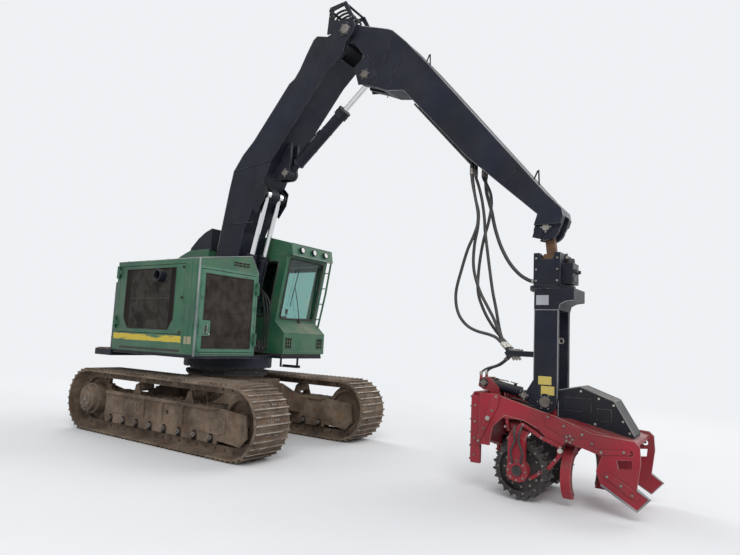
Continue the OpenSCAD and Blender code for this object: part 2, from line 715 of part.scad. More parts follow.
module cab_door_glass()
    color([0.45, 0.70, 0.68, 0.5])
        slab_y([for (p = door_window) p + [p[0] > 0 ? -seat : seat, p[1] > window_z0 ? -seat : seat]],
            cab_outer - 40, cab_outer - 30);

module cab_roof()
    color(green)
        slab_y([[cab_rear - 20, cab_top + seat], [cab_front - 10, cab_top + seat],
            [cab_front + 15, visor_low[1]], visor_low, visor_high,
            [cab_front - 520, roof_top], [cab_rear + 180, roof_top], [cab_rear - 20, roof_top - 130]],
            cab_inner, cab_outer + 20);

// Three work lamps on the visor
module roof_lamps()
    color([0.9, 0.9, 0.85]) for (dy = [-321, 14, 349])
        translate([visor_low[0], cab_mid + dy, visor_low[1]]) rotate([0, -visor_lean, 0])
            translate([seat, 0, 113]) rotate([0, 90, 0]) cylinder(r = 55, h = 36);

module cab_seat() {
    y0 = cab_mid - 251;
    y1 = cab_mid + 249;
    floor_z = cab_floor_z + cab_wall + seat;
    cushion_z = cab_floor_z + 445;
    back = cab_rear + 390;
    color(black) {
        box(back + 160, back + 620, y0 + 80, y1 - 80, floor_z, cushion_z);
        box(back + 110, back + 650, y0, y1, cushion_z, cushion_z + 130);
        slab_y([[back + 70, cushion_z + 60], [back + 220, cushion_z + 60], [back + 130, cushion_z + 850],
            [back, cushion_z + 850]], y0 + 20, y1 - 20);
        // Armrest consoles
        for (y = [y0 - 140, y1 + 20]) box(back + 190, back + 690, y, y + 120, floor_z, cushion_z + 270);
    }
}

// Boom outline from the foot pin: back edge upwards, then the tip, then the belly downwards
boom_back = [[-43, 986], [46, 1442], [175, 2105], [254, 2432], [462, 2700], [720, 2928], [1503, 3829],
    [1621, 3899], [1730, 4037], [1869, 4285], [1998, 4493], [2077, 4543], [2305, 4473], [2365, 4493],
        [2563, 4640]];
boom_belly = [[2652, 4117], [2265, 3780], [1800, 3225], [1195, 2502], [1087, 2284], [898, 1888], [750, 1581],
    [601, 1274], [532, 887]];
foot_half_w = 230;
fork_gap = stick_w / 2 + 12;

module boom() {
    h = boom_w / 2;
    outline = concat(shift(boom_back, foot), arc(stick_p, 185, 110, -80), shift(boom_belly, foot),
        arc(foot, boss_r - 5, -20, -190));
    lift_eye = 45;
    lug = concat(arc(lift_top, 88, -60, 60, 8), [foot + [960, 2120], foot + [800, 1700]]);
    cyl_lug = concat([foot + [1080, 2270], foot + [1160, 2200]], arc(stick_cyl_base, 105, -90, 30, 8),
        [foot + [1480, 2840], foot + [1350, 2690]]);
    translate([0, boom_y, 0]) color(black) difference() {
        union() {
            slab_y(outline, -h, h);
            // Lugs of the lift cylinders' rods
            for (y = [[-235, -205], [-95, 95], [205, 235]]) slab_y(lug, y[0], y[1]);
            // Lugs of the stick cylinder's base
            for (s = [-1, 1]) slab_y(cyl_lug, s * 85 - 23, s * 85 + 23);
            rod_y(stick_cyl_base, 45, -108, 108);
            // Hose guard on the boom's tip
            for (s = [-1, 1]) difference() {
                slab_y(shift([[-380, 20], [-350, 380], [-350, 480], [-10, 500], [170, 160], [60, 40]],
                    stick_p),
                    s * (h - 14) - 14, s * (h - 14) + 14);
                slab_y(shift([[-290, 250], [-270, 410], [-60, 440], [90, 190], [0, 150]], stick_p),
                    -h - 5, h + 5);
            }
            for (p = [[-345, 430], [-30, 470]]) rod_y(stick_p + p, 22, -h + 2, h - 2);
        }
        // Narrow foot between the tower plates
        for (s = [-1, 1]) translate([0, s * (foot_half_w + 60), 0]) rod_y(foot, 310, -60, 60);
        rod_y(foot, foot_pin_r + fit, -h - 5, h + 5);
        // Fork for the stick
        rod_y(stick_p, 470, -fork_gap, fork_gap);
        rod_y(stick_p + [250, -100], 470, -fork_gap, fork_gap);
        // Room for the rods' eyes
        for (s = [-1, 1]) rod_y(lift_top, 125, s * lift_y - lift_eye - 8, s * lift_y + lift_eye + 8);
    }
    translate([0, boom_y, 0]) color(black) rod_y(stick_p, stick_pin_r, -h, h);
}

function dist(a, b) = norm(b - a);
lift_l = dist(lift_base, lift_top);
lift_gland = 1600;
lift_rod_in = 760;

module lift_barrels()
    color(black) for (s = [-1, 1]) translate([0, boom_y + s * lift_y, 0]) difference() {
        union() {
            rod_y(lift_base, 78, -45, 45);
            along(lift_base, lift_top, 0, lift_r, 60, lift_gland);
            along(lift_base, lift_top, 0, lift_r + 12, lift_gland - 70, lift_gland);
        }
        rod_y(lift_base, 40 + fit, -60, 60);
        along(lift_base, lift_top, 0, lift_rod_r + seat, 200, lift_gland + 5);
    }

module lift_rods()
    color(steel) for (s = [-1, 1]) translate([0, boom_y + s * lift_y, 0]) {
        along(lift_base, lift_top, 0, lift_rod_r, lift_rod_in, lift_l - 30);
        rod_y(lift_top, 72, -45, 45);
    }

// Stick outline from the stick pivot: top edge to the tip, then the underside back
stick_tip = [tip_dx, -tip_dz];
stick_top = [[300, 10], [790, -180], [880, -230], [1140, -490], [1550, -960], stick_tip + [-90, 540],
    stick_tip + [30, 400], stick_tip + [200, 220], stick_tip + [220, 120], stick_tip + [180, 0]];
stick_under = [stick_tip + [-100, 170], [2200, -2450], [1120, -1250], [830, -1190], [600, -1080],
    [300, -960], [290, -760], [370, -530], [150, -250]];

module stick() {
    h = stick_w / 2;
    outline = concat(shift(stick_top, stick_p), arc(tip_p, 165, -10, -170), shift(stick_under, stick_p),
        arc(stick_p, 170, 240, 80));
    pocket = shift([[150, -1150], [640, -1230], [760, -900], [560, -600], [150, -620]], stick_p);
    translate([0, boom_y, 0]) color(black) difference() {
        slab_y(outline, -h, h);
        rod_y(stick_p, stick_pin_r + fit, -h - 5, h + 5);
        // Room for the rod's eye between the side plates
        slab_y(pocket, -75, 75);
        // Fork for the head link
        box(tip_p[0] - 300, tip_p[0] + 300, -95, 95, tip_p[1] - 250, tip_p[1] + 140);
        // Narrower tip
        for (s = [-1, 1]) box(tip_p[0] - 400, tip_p[0] + 400, s * 210 - 60, s * 210 + 60,
            tip_p[1] - 250, tip_p[1] + 30);
    }
    translate([0, boom_y, 0]) color(black) {
        rod_y(tip_p, link_pin_r, -150, 150);
        // Ferrules of the hoses, from under the stick to well inside it
        for (i = [0:4]) translate([hose_routes[i][0][0], hose_routes[i][0][1] - boom_y, hose_top_z + seat])
            cylinder(r = (i == 4 ? fat_hose_r : hose_r) + ferrule, h = 330);
        // Grab loops on the top edge, their legs well inside the stick
        for (q = [[1387.2, -787.6], stick_tip + [-213.6, 688.8]]) {
            p = stick_p + q;
            along(p, p + [60, 130], 0, 10, -70, 120);
            along(p + [70, -85], p + [60, 130], 0, 10, -70, 200);
        }
    }
}

stick_cyl_l = dist(stick_cyl_base, stick_cyl_top);
stick_gland = 1500;

module stick_barrel()
    color(black) translate([0, boom_y, 0]) difference() {
        union() {
            rod_y(stick_cyl_base, 92, -55, 55);
            along(stick_cyl_base, stick_cyl_top, 0, 52, 60, 260);
            along(stick_cyl_base, stick_cyl_top, 0, stick_cyl_r, 245, stick_gland - 100);
            along(stick_cyl_base, stick_cyl_top, 0, stick_cyl_r + 18, stick_gland - 130, stick_gland);
        }
        rod_y(stick_cyl_base, 45 + fit, -70, 70);
        along(stick_cyl_base, stick_cyl_top, 0, stick_rod_r + seat, 120, stick_gland + 5);
    }

module stick_rod()
    color(steel) translate([0, boom_y, 0]) {
        along(stick_cyl_base, stick_cyl_top, 0, stick_rod_r, 420, stick_cyl_l - 40);
        rod_y(stick_cyl_top, 78, -50, 50);
    }

module link()
    color(steel) translate([0, boom_y, 0]) difference() {
        union() {
            rod_y(tip_p, 85, -90, 90);
            hull() {
                rod_y(tip_p, 55, -55, 55);
                translate([cross_p[0], 0, cross_p[1]]) rotate([0, 90, 0]) cylinder(r = 50, h = 110,
                    center = true);
            }
            rod_x(0, cross_p[1], 72, cross_p[0] - 105, cross_p[0] + 105);
        }
        rod_y(tip_p, link_pin_r + fit, -100, 100);
        rod_x(0, cross_p[1], link_pin_r + fit, cross_p[0] - 120, cross_p[0] + 120);
    }

module rotator() {
    c = cross_p[0];
    y = 250;
    color(black) translate([0, boom_y, 0]) {
        difference() {
            union() {
                box(c - 165, c + 165, -y, y, rot_bot, rot_top - 10);
                // Motor on the front side
                box(c + 160, c + 285, -130, 130, rot_bot + 20, rot_bot + 280);
            }
            box(c - 115, c + 115, -150, 150, cross_p[1] - 110, rot_top + 10);
            slab_y([[c - 100, rot_top + 10], [c - 70, rot_top - 90], [c + 70, rot_top - 90],
                [c + 100, rot_top + 10]],
                -y - 10, y + 10);
        }
        rod_x(0, cross_p[1], link_pin_r, c - 160, c + 160);
        // Port of the fat hose
        rod_x(rotator_port[1] - boom_y, rotator_port[2],
            fat_hose_r + ferrule, rotator_port[0] + seat, c - 160);
    }
}

// Hanger: flange, crown with its bracket, and two legs that straddle the head
module hanger() {
    c = cross_p[0];
    crown = [[c - 150, flange_bot + 5], [c - 150, crown_bot], [c + 150, crown_bot],
        [c + 165, crown_bot + 70],
        [c + 230, crown_bot + 105], [c + 330, crown_bot + 120], [c + 330, flange_bot + 5]];
    leg = concat([[c - leg_half_x, crown_bot + 20], [c - leg_half_x, tilt_p[1] + 260]],
        arc(tilt_p, 135, 180, 360), [[c + leg_half_x, tilt_p[1] + 40], [c + leg_half_x, crown_bot + 20]]);
    ear = concat(arc(tilt_top, 60, 70, 270),
        [tilt_p + [-100, -90], tilt_p + [-100, 230], tilt_p + [-150, 250]]);
    color(black) {
        translate([c, boom_y, flange_bot]) cylinder(r = 275, h = rot_bot - flange_bot - seat);
        translate([0, boom_y, 0]) {
            slab_y(crown, -leg_out, leg_out);
            for (s = [-1, 1]) slab_y(leg, s > 0 ? leg_in : -leg_out, s > 0 ? leg_out : -leg_in);
            slab_y(ear, -leg_out, -leg_in);
            rod_y(tilt_top, 38, -leg_out - 16, -leg_in + 12);
            rod_y(tilt_p, tilt_pin_r, -leg_out - 12, leg_out + 12);
            // Manifold of the hoses on an arm from the right leg
            translate([manifold[0], 0, manifold[1]]) rotate([0, 45, 0])
                cube([80, 2 * leg_out - 90, 80], center = true);
            box(manifold[0] - 20, c - leg_half_x + 20, -leg_out, -leg_in, manifold[1] - 35,
                manifold[1] + 35);
            for (y = hose_ends_y) translate([manifold[0], y - boom_y, manifold[1]]) rotate([0, -45, 0])
                cylinder(r = hose_r + ferrule, h = 90);
            for (y = head_hose_ys) translate([manifold[0], y[0] - boom_y, manifold[1]]) rotate([0, -135, 0])
                cylinder(r = thin_hose_r + ferrule, h = 80);
        }
    }
}

tilt_l = dist(tilt_base, tilt_top);

module tilt_barrel()
    color(black) translate([0, tilt_y, 0]) difference() {
        union() {
            rod_y(tilt_base, 68, -64, 64);
            along(tilt_base, tilt_top, 0, 64, 50, 470);
        }
        rod_y(tilt_base, tilt_base_r + fit, -80, 80);
        along(tilt_base, tilt_top, 0, 32 + seat, 75, 480);
    }

module tilt_rod()
    color(steel) translate([0, tilt_y, 0]) {
        along(tilt_base, tilt_top, 0, 32, 105, tilt_l - 30);
        rod_y(tilt_top, 52, -38, 38);
    }

// Side plate of the head from the tilt pin: top edge forwards, the nose, then the arches backwards
head_side = [[saw_face, 60], [-530, 60], [-170, -40], [200, -130], [590, -270], [1030, -300],
    [1080, -350], [1090, -510], [1050, -790], [1170, -870], [1050, -1010], [690, -800], [640, -660],
    [700, -500], [560, -460], [330, -400], [240, -460], [150, -430], [-10, -285], [-170, -215],
    [-410, -180], [-560, -330], [-600, -560], [saw_face, -560]];

// Cross plate of the head with the seats of a pair of pivot pins
module bulkhead(x, pivot, r) {
    u = pivot[0];
    z = pivot[1];
    top = head_deck_z - 20 - head_fall * max(0, x + 30 - head_bend);
    seats = [[-480, top], [480, top], [480, z + 40], [u + r + 20, z - r], [u - r, z - r],
        [u - r - 60, z + 60], [-u + r + 60, z + 60], [-u + r, z - r], [-u - r - 20, z - r], [-480, z + 40]];
    slab_x(seats, x, x + 30);
}

module head_frame() {
    u = head_half_w;
    translate([tilt_p[0], boom_y, tilt_p[1]]) color(red) {
        difference() {
            for (s = [-1, 1]) slab_y(head_side, s > 0 ? u - plate_t : -u, s > 0 ? u : -u + plate_t);
            rod_y([985, -430], 32, -600, 600);
            slab_y([[850, -520], [1010, -500], [1000, -590], [870, -610]], -600, 600);
        }
        // Deck between the side plates
        slab_y([[saw_face, head_deck_z], [head_bend, head_deck_z], head_nose, head_nose - [0, 45],
            [head_bend - 10, head_deck_z - head_deck_t],
            [saw_face, head_deck_z - head_deck_t]], -u + 5, u - 5);
        for (x = [-400, 130]) bulkhead(x, feed_pivot, 60);
        for (x = [215, 565]) bulkhead(x, knife_pivot, 55);
        for (s = [-1, 1]) {
            rod_x(s * feed_pivot[0], feed_pivot[1], feed_pin_r, -395, 155);
            rod_x(s * knife_pivot[0], knife_pivot[1], knife_pin_r, 220, 590);
            // Lugs of the tilt pin
            difference() {
                slab_y(concat([[-140, head_deck_z - 10]], arc([0, 0], 105, 180, 0),
                    [[120, head_deck_z - 10]]),
                    s * 155 - 30, s * 155 + 30);
                rod_y([0, 0], tilt_pin_r + fit, -300, 300);
            }
        }
        // Hook that carries the tilt cylinder
        hook = [[-560, head_deck_z - 10], [-600, 120], [-730, 240], [-860, 235], [-875, 120],
            [-800, 78], [-720, 75],
            [-720, head_deck_z - 10]];
        translate([0, tilt_y - boom_y, 0]) {
            for (s = [-1, 1]) slab_y(hook, s * 85 - 15, s * 85 + 15);
            rod_y(tilt_base - tilt_p, tilt_base_r - fit / 2, -100, 100);
        }
        // Ports of the head's hoses on the hook
        for (y = head_hose_ys) translate([hook_port[0] - tilt_p[0], y[1] - boom_y, 0])
            translate([0, 0, 225]) cylinder(r = thin_hose_r + ferrule, h = hook_port[1] - tilt_p[1] - 225);
    }
}

module head_cover()
    translate([tilt_p[0], boom_y, tilt_p[1]]) color(black)
        slab_y([[135, head_deck_z + seat], [135, 150], [389, 209], [766, 73], [976, -284], [976, -317],
            [300, head_deck_z + seat]], -185, 185);

module saw_box() {
    u = head_half_w - 30;
    side = [[-u, -800], [-u, 20], [-u + 60, 60], [u - 60, 60], [u, 20], [u, -800], [u - 60, -800],
        [u - 60, -700],
        [-u + 60, -480], [-u + 60, -800]];
    translate([tilt_p[0], boom_y, tilt_p[1]]) color(red) {
        slab_x(side, saw_x, saw_x + 20);
        slab_x(side, saw_x + 20 + saw_gap, saw_x + 40 + saw_gap);
        box(saw_x + 15, saw_x + 25 + saw_gap, -u + 65, u - 65, 25, 60);
        for (s = [-1, 1]) box(saw_x + 15, saw_x + 25 + saw_gap, s * (u - 20) - 20, s * (u - 20) + 20,
            -800, 20);
        rod_x(saw_pivot[0], saw_pivot[1], saw_pin_r, saw_x + 15, saw_x + 25 + saw_gap);
    }
}

module saw_bar() {
    x = saw_x + 20 + saw_gap / 2 - 8;
    y = saw_pivot[0];
    z = saw_pivot[1];
    translate([tilt_p[0], boom_y, tilt_p[1]]) color(steel) difference() {
        union() {
            slab_x(concat([[y + 50, z]], arc([y, z + bar_l - 42], 42, 0, 180), arc([y, z],
                50, 180, 360)), x, x + 16);
            rod_x(y, z, 62, saw_x + 20 + seat, saw_x + 20 + saw_gap - seat);
        }
        rod_x(y, z, saw_pin_r + fit, saw_x, saw_x + 200);
    }
}

// Feed arm of the +Y side: [distance from the centre plane, height from the tilt pin]
module feed_arm() {
    u = feed_pivot[0];
    z = feed_pivot[1];
    out = wheel_in + wheel_w;
    arm = [[u - 30, z - 40], [u - 30, z + 45], [u + 60, z + 25], [out + 90, z - 90],
        [out + 90, wheel_c[1] - 60],
        [out + 60, wheel_c[1] - 120], [out + 25, wheel_c[1] - 90], [out + 25, z - 90], [u + 55, z - 32]];
    color(red) difference() {
        union() {
            rod_x(u, z, 60, -365, 125);
            slab_x(arm, -310, -110);
            rod_y(wheel_c, 125, out + 8, out + 110);
            rod_y(wheel_c, 60, wheel_in + 15, out + 30);
        }
        rod_x(u, z, feed_pin_r + fit, -400, 200);
    }
}

module feed_wheel() {
    spikes = 22;
    color(black) difference() {
        slab_y([for (i = [0:spikes - 1]) for (k = [0, 1, 2])
            wheel_c + (k == 1 ? wheel_r : wheel_r - 42) * [cos((i + k / 3) * 360 / spikes),
                sin((i + k / 3) * 360 / spikes)]], wheel_in, wheel_in + wheel_w);
        rod_y(wheel_c, 60 + fit, 0, 900);
        // Dished outer face
        difference() {
            rod_y(wheel_c, wheel_r - 90, wheel_in + wheel_w - 60, wheel_in + wheel_w + 10);
            rod_y(wheel_c, 100, 0, 900);
        }
    }
}

knife_ring_in = 240;
knife_ring_out = 300;
knife_c = [0, -690];
knife_open = 40;

// Delimbing knife of the +Y side, drawn closed round a trunk and swung open about its pivot
module knife() {
    u = knife_pivot[0];
    z = knife_pivot[1];
    web = [for (i = [0:5]) let (a = 55 - i * 11) knife_c + (knife_ring_out + 60 - i * 12) * [cos(a),
        sin(a)]];
    blade = concat(web, arc(knife_c, knife_ring_out, -10, -95, 9), [knife_c + 262 * [cos(-104), sin(-104)]],
        arc(knife_c, knife_ring_in, -95, 55, 14));
    color(red) translate([0, u, z]) rotate([knife_open, 0, 0]) translate([0, -u, -z]) difference() {
        union() {
            slab_x(blade, 0, knife_t);
            rod_x(u, z, 62, 0, knife_t);
        }
        rod_x(u, z, knife_pin_r + fit, -50, knife_t + 50);
    }
}

// Places a piece drawn for the +Y side of the head, mirrored for the right side
module on_head(right)
    translate([tilt_p[0], boom_y, tilt_p[1]]) mirror([0, right ? 1 : 0, 0]) children();

module on_side(right) mirror([0, right ? 1 : 0, 0]) translate([0, side_y, 0]) children();

carbody();
slew_ring();
on_side(true) track_frame();  // track_frame_r
on_side(false) track_frame();  // track_frame_l
on_side(true) running_gear();  // running_gear_r
on_side(false) running_gear();  // running_gear_l
on_side(true) final_drive();  // final_drive_r
on_side(false) final_drive();  // final_drive_l
on_side(true) track();  // track_r
on_side(false) track();  // track_l
turntable();
deck();
boom_tower();
right_housing();
engine_housing();
boom_hump();
engine();
counterweight();
cab_shell();
cab_roof();
roof_lamps();
cab_glass();
cab_seat();
front_door();
side_door();
cab_door();
cab_door_glass();
boom();
lift_barrels();
lift_rods();
stick();
stick_barrel();
stick_rod();
link();
rotator();
hanger();
tilt_barrel();
tilt_rod();
head_frame();
head_cover();
saw_box();
saw_bar();
on_head(true) feed_arm();  // feed_arm_r
on_head(false) feed_arm();  // feed_arm_l
on_head(true) feed_wheel();  // feed_wheel_r
on_head(false) feed_wheel();  // feed_wheel_l
on_head(true) translate([knife_xs[0], 0, 0]) knife();  // knife_r
on_head(false) translate([knife_xs[1], 0, 0]) knife();  // knife_l
hose(0);  // hose_loop
hose(1);  // hose_right
hose(2);  // hose_middle
hose(3);  // hose_left
hose(4);  // hose_rotator
head_hose(0);  // head_hose_r
head_hose(1);  // head_hose_l
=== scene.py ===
from math import atan2, cos, pi, radians, sin

import bmesh
import bpy
from mathutils import Matrix, Vector


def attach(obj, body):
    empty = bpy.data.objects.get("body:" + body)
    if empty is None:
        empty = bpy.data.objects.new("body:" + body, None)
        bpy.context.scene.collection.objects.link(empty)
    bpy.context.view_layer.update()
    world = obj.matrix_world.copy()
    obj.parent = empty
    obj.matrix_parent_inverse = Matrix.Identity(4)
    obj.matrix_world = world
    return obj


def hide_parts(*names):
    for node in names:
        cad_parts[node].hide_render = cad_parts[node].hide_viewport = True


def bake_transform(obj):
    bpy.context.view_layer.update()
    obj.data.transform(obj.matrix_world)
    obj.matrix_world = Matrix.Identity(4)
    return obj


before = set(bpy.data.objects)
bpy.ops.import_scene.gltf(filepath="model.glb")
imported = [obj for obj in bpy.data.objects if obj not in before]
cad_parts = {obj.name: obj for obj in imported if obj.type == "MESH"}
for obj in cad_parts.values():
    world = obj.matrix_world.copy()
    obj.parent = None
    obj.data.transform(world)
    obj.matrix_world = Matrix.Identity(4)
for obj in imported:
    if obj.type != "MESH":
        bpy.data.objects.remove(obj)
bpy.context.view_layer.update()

# Camera

CAMERA_AT = (7.944, -7.171, 1.785)
YAW, PITCH, ROLL = radians(124.508), radians(6.17), radians(2.61)
SENSOR, LENS = 36, 27.74


def place_camera():
    """The camera at the photograph's view of the machine: from the front right, low, looking back and up."""
    look = Vector((cos(YAW) * cos(PITCH), sin(YAW) * cos(PITCH), sin(PITCH)))
    right = look.cross(Vector((0, 0, 1))).normalized()
    up = right.cross(look)
    rows = [right * cos(ROLL) + up * sin(ROLL), -right * sin(ROLL) + up * cos(ROLL), -look]
    data = bpy.data.cameras.new("photo_view")
    data.sensor_width, data.lens = SENSOR, LENS
    camera = bpy.data.objects.new("photo_view", data)
    bpy.context.scene.collection.objects.link(camera)
    turned = Matrix([[rows[c][r] for c in range(3)] for r in range(3)]).to_4x4()
    camera.matrix_world = Matrix.Translation(CAMERA_AT) @ turned
    bpy.context.scene.camera = camera


place_camera()

# Node trees

SOCKETS = {float: "Float", int: "Int", tuple: "Vector"}


class Nodes:
    """Short hand for the nodes of one tree, and for the material that the tree belongs to."""

    def __init__(self, tree, material=None):
        self.tree = tree
        self.material = material
        self.shader = tree.nodes.get("Principled BSDF")

    def fill(self, socket, value):
        """Links a socket or sets it. A colour is given as red, green and blue."""
        if isinstance(value, bpy.types.NodeSocket):
            self.tree.links.new(value, socket)
        elif socket.type == "RGBA":
            socket.default_value = (*value, 1.0)
        else:
            socket.default_value = value

    def add(self, kind, inputs=None, **settings):
        node = self.tree.nodes.new(kind)
        for name, value in settings.items():
            setattr(node, name, value)
        for name, value in (inputs or {}).items():
            self.fill(node.inputs[name], value)
        return node

    def set(self, **sockets):
        """Inputs of the material's shader, with _ for each space in a name."""
        for name, value in sockets.items():
            self.fill(self.shader.inputs[name.replace("_", " ")], value)

    def math(self, operation, a, b=0.5, clamp=False):
        return self.add("ShaderNodeMath", {0: a, 1: b}, operation=operation, use_clamp=clamp).outputs[0]

    def times(self, a, b):
        return self.math("MULTIPLY", a, b)

    def plus(self, a, b, clamp=False):
        return self.math("ADD", a, b, clamp)

    def mix(self, amount, a, b):
        return self.add("ShaderNodeMix", {0: amount, 6: a, 7: b}, data_type="RGBA").outputs[2]

    def ramp(self, value, low, high):
        """0 below low, 1 above high, and a soft step between them."""
        inputs = {"Value": value, "From Min": low, "From Max": high}
        return self.add("ShaderNodeMapRange", inputs, interpolation_type="SMOOTHSTEP").outputs["Result"]

    def where(self):
        return self.add("ShaderNodeTexCoord").outputs["Object"]

    def split(self, vector):
        return self.add("ShaderNodeSeparateXYZ", {"Vector": vector}).outputs

    def noise(self, scale, detail=4.0, rough=0.55, stretch=None):
        where = self.where()
        if stretch:
            where = self.add("ShaderNodeMapping", {"Vector": where, "Scale": stretch}).outputs[0]
        inputs = {"Vector": where, "Scale": scale, "Detail": detail, "Roughness": rough}
        return self.add("ShaderNodeTexNoise", inputs).outputs["Fac"]

    def waves(self, direction, inputs):
        inputs["Vector"] = self.where()
        return self.add("ShaderNodeTexWave", inputs, bands_direction=direction).outputs["Fac"]

    def place(self, group, *values):
        """One of the groups below, with a value for each of its inputs."""
        return self.add("ShaderNodeGroup", dict(enumerate(values)), node_tree=group).outputs[0]

    def bump(self, height, strength, distance):
        inputs = {"Height": height, "Strength": strength, "Distance": distance}
        self.set(Normal=self.add("ShaderNodeBump", inputs).outputs[0])


def new_tree(name, kind, inputs, result, result_kind):
    """A node group with one output; an input without a starting value is given by its kind."""
    tree = bpy.data.node_groups.new(name, kind)
    for socket, value in inputs.items():
        kind = value if isinstance(value, str) else SOCKETS[type(value)]
        made = tree.interface.new_socket(name=socket, in_out="INPUT", socket_type="NodeSocket" + kind)
        if kind != value:
            made.default_value = value
    tree.interface.new_socket(name=result, in_out="OUTPUT", socket_type="NodeSocket" + result_kind)
    n = Nodes(tree)
    return n, n.add("NodeGroupInput").outputs, n.add("NodeGroupOutput").inputs[0]


def mask_group(name, inputs):
    return new_tree(name, "ShaderNodeTree", inputs, "Mask", "Float")


def make_edge_wear():
    """Mask of worn edges: where a rounded normal leaves the true one, broken up by noise."""
    n, given, out = mask_group("edge_wear", {"Width": 0.006, "Breakup": 9.0, "Amount": 0.6})
    soft = n.add("ShaderNodeBevel", {"Radius": given["Width"]}, samples=4).outputs[0]
    true = n.add("ShaderNodeNewGeometry").outputs["Normal"]
    facing = n.add("ShaderNodeVectorMath", {0: soft, 1: true}, operation="DOT_PRODUCT").outputs["Value"]
    edge = n.ramp(n.math("SUBTRACT", 1.0, facing), 0.02, 0.22)
    broken = n.ramp(n.noise(given["Breakup"], 6.0, 0.5), 0.38, 0.62)
    n.fill(out, n.math("MULTIPLY", n.times(edge, broken), given["Amount"], clamp=True))
    return n.tree


def make_dust():
    """Mask of settled dust: on faces that look up, and in blotches elsewhere."""
    n, given, out = mask_group("settled_dust", {"Scale": 2.5, "Up": 0.6, "Blotches": 0.3})
    height = n.split(n.add("ShaderNodeNewGeometry").outputs["Normal"])["Z"]
    patchy = n.ramp(n.noise(given["Scale"], 8.0, 0.62), 0.35, 0.7)
    top = n.times(n.ramp(height, 0.25, 0.95), given["Up"])
    blotch = n.times(patchy, given["Blotches"])
    n.fill(out, n.plus(n.times(top, n.plus(patchy, 0.35)), blotch, clamp=True))
    return n.tree


def make_patch():
    """Mask of a box in the machine's own coordinates, with a ragged edge."""
    inputs = {"Low": (0, 0, 0), "High": (1, 1, 1), "Ragged": 0.01, "Scale": 12.0}
    n, given, out = mask_group("box_patch", inputs)
    shake = n.times(n.math("SUBTRACT", n.noise(given["Scale"], 4.0, 0.5), 0.5), given["Ragged"])
    at, low, high = n.split(n.where()), n.split(given["Low"]), n.split(given["High"])
    mask = 1.0
    for axis in "XYZ":
        moved = n.plus(at[axis], shake)
        inside = n.times(n.math("GREATER_THAN", moved, low[axis]), n.math("LESS_THAN", moved, high[axis]))
        mask = n.times(mask, inside)
    n.fill(out, mask)
    return n.tree


edge_wear = make_edge_wear()
settled_dust = make_dust()
box_patch = make_patch()

# Finishes

DUST = (0.3, 0.26, 0.2)
YELLOW = (0.56, 0.42, 0.03)
PALE_GREEN = (0.05, 0.165, 0.105)


def finish(name, roughness=0.5, metallic=0.0, **sockets):
    """A new material's nodes, with values for its shader."""
    material = bpy.data.materials.new(name)
    material.use_nodes = True
    n = Nodes(material.node_tree, material)
    n.set(Roughness=roughness, Metallic=metallic, **sockets)
    return n


def enamel(name, base, shade, dust=DUST, wear=0.5, dusty=0.35, blotches=0.14, rough=0.42, gloss=0.35,
           bare=(0.3, 0.29, 0.27), patches=()):
    """Painted sheet metal: uneven paint, dust, worn edges and patches of other colours."""
    n = finish(name, Specular_IOR_Level=gloss)
    body = n.mix(n.ramp(n.noise(1.3, 5.0), 0.3, 0.7), base, shade)
    body = n.mix(n.times(n.ramp(n.noise(3.0, 6.0, stretch=(4, 4, 0.35)), 0.5, 0.75), 0.35), body, shade)
    for low, high, paint, ragged, scale in patches:
        inside = n.place(box_patch, low, high, ragged, scale)
        scuffed = n.times(inside, n.ramp(n.noise(scale * 0.6, 6.0, stretch=(0.35, 1, 1.6)), 0.37, 0.49))
        body = n.mix(scuffed, body, paint)
    film = n.place(settled_dust, 2.2, dusty, blotches)
    body = n.mix(n.place(edge_wear, 0.012, 7.0, wear), n.mix(film, body, dust), bare)
    uneven = n.plus(n.times(n.noise(6.0, 5.0), 0.25), rough - 0.12)
    n.set(Base_Color=body, Roughness=n.plus(uneven, n.times(film, 0.35), clamp=True))
    n.bump(n.noise(45.0, 3.0), 0.12, 0.002)
    return n.material


def muddy_steel():
    """Track steel under dried mud, with bright worn ridges."""
    n = finish("muddy_steel", 0.85)
    mud = n.mix(n.ramp(n.noise(2.1, 8.0, 0.65), 0.35, 0.68), (0.075, 0.05, 0.034), (0.22, 0.16, 0.11))
    rust = n.times(n.ramp(n.noise(5.5, 8.0, 0.7), 0.52, 0.68), 0.6)
    edge = n.place(edge_wear, 0.01, 5.0, 0.9)
    body = n.mix(edge, n.mix(rust, mud, (0.16, 0.065, 0.028)), (0.42, 0.38, 0.33))
    rough = n.math("SUBTRACT", 0.9, n.times(edge, 0.45))
    n.set(Base_Color=body, Roughness=rough, Metallic=n.times(edge, 0.7))
    n.bump(n.plus(n.noise(14.0, 8.0, 0.7), n.times(n.noise(3.0, 4.0), 1.5)), 0.7, 0.02)
    return n.material


def bare_steel(name, base, dark, rough, metal):
    """Bare or rusted steel with scratches."""
    n = finish(name, rough, metal)
    body = n.mix(n.ramp(n.noise(4.0, 7.0, 0.65), 0.35, 0.65), base, dark)
    n.set(Base_Color=n.mix(n.place(edge_wear, 0.006, 11.0, 0.6), body, (0.45, 0.42, 0.38)),
          Roughness=n.plus(n.times(n.noise(20.0), 0.3), rough - 0.15))
    n.bump(n.noise(60.0, 6.0), 0.25, 0.003)
    return n.material


def rod_chrome():
    """Chrome rod with a thin smear of old oil."""
    n = finish("rod_chrome", 0.16, 1.0)
    smear = n.ramp(n.noise(8.0, 5.0, stretch=(1, 1, 0.4)), 0.55, 0.75)
    n.set(Base_Color=n.mix(smear, (0.7, 0.7, 0.71), (0.42, 0.36, 0.28)),
          Roughness=n.plus(n.times(smear, 0.3), 0.14))
    return n.material


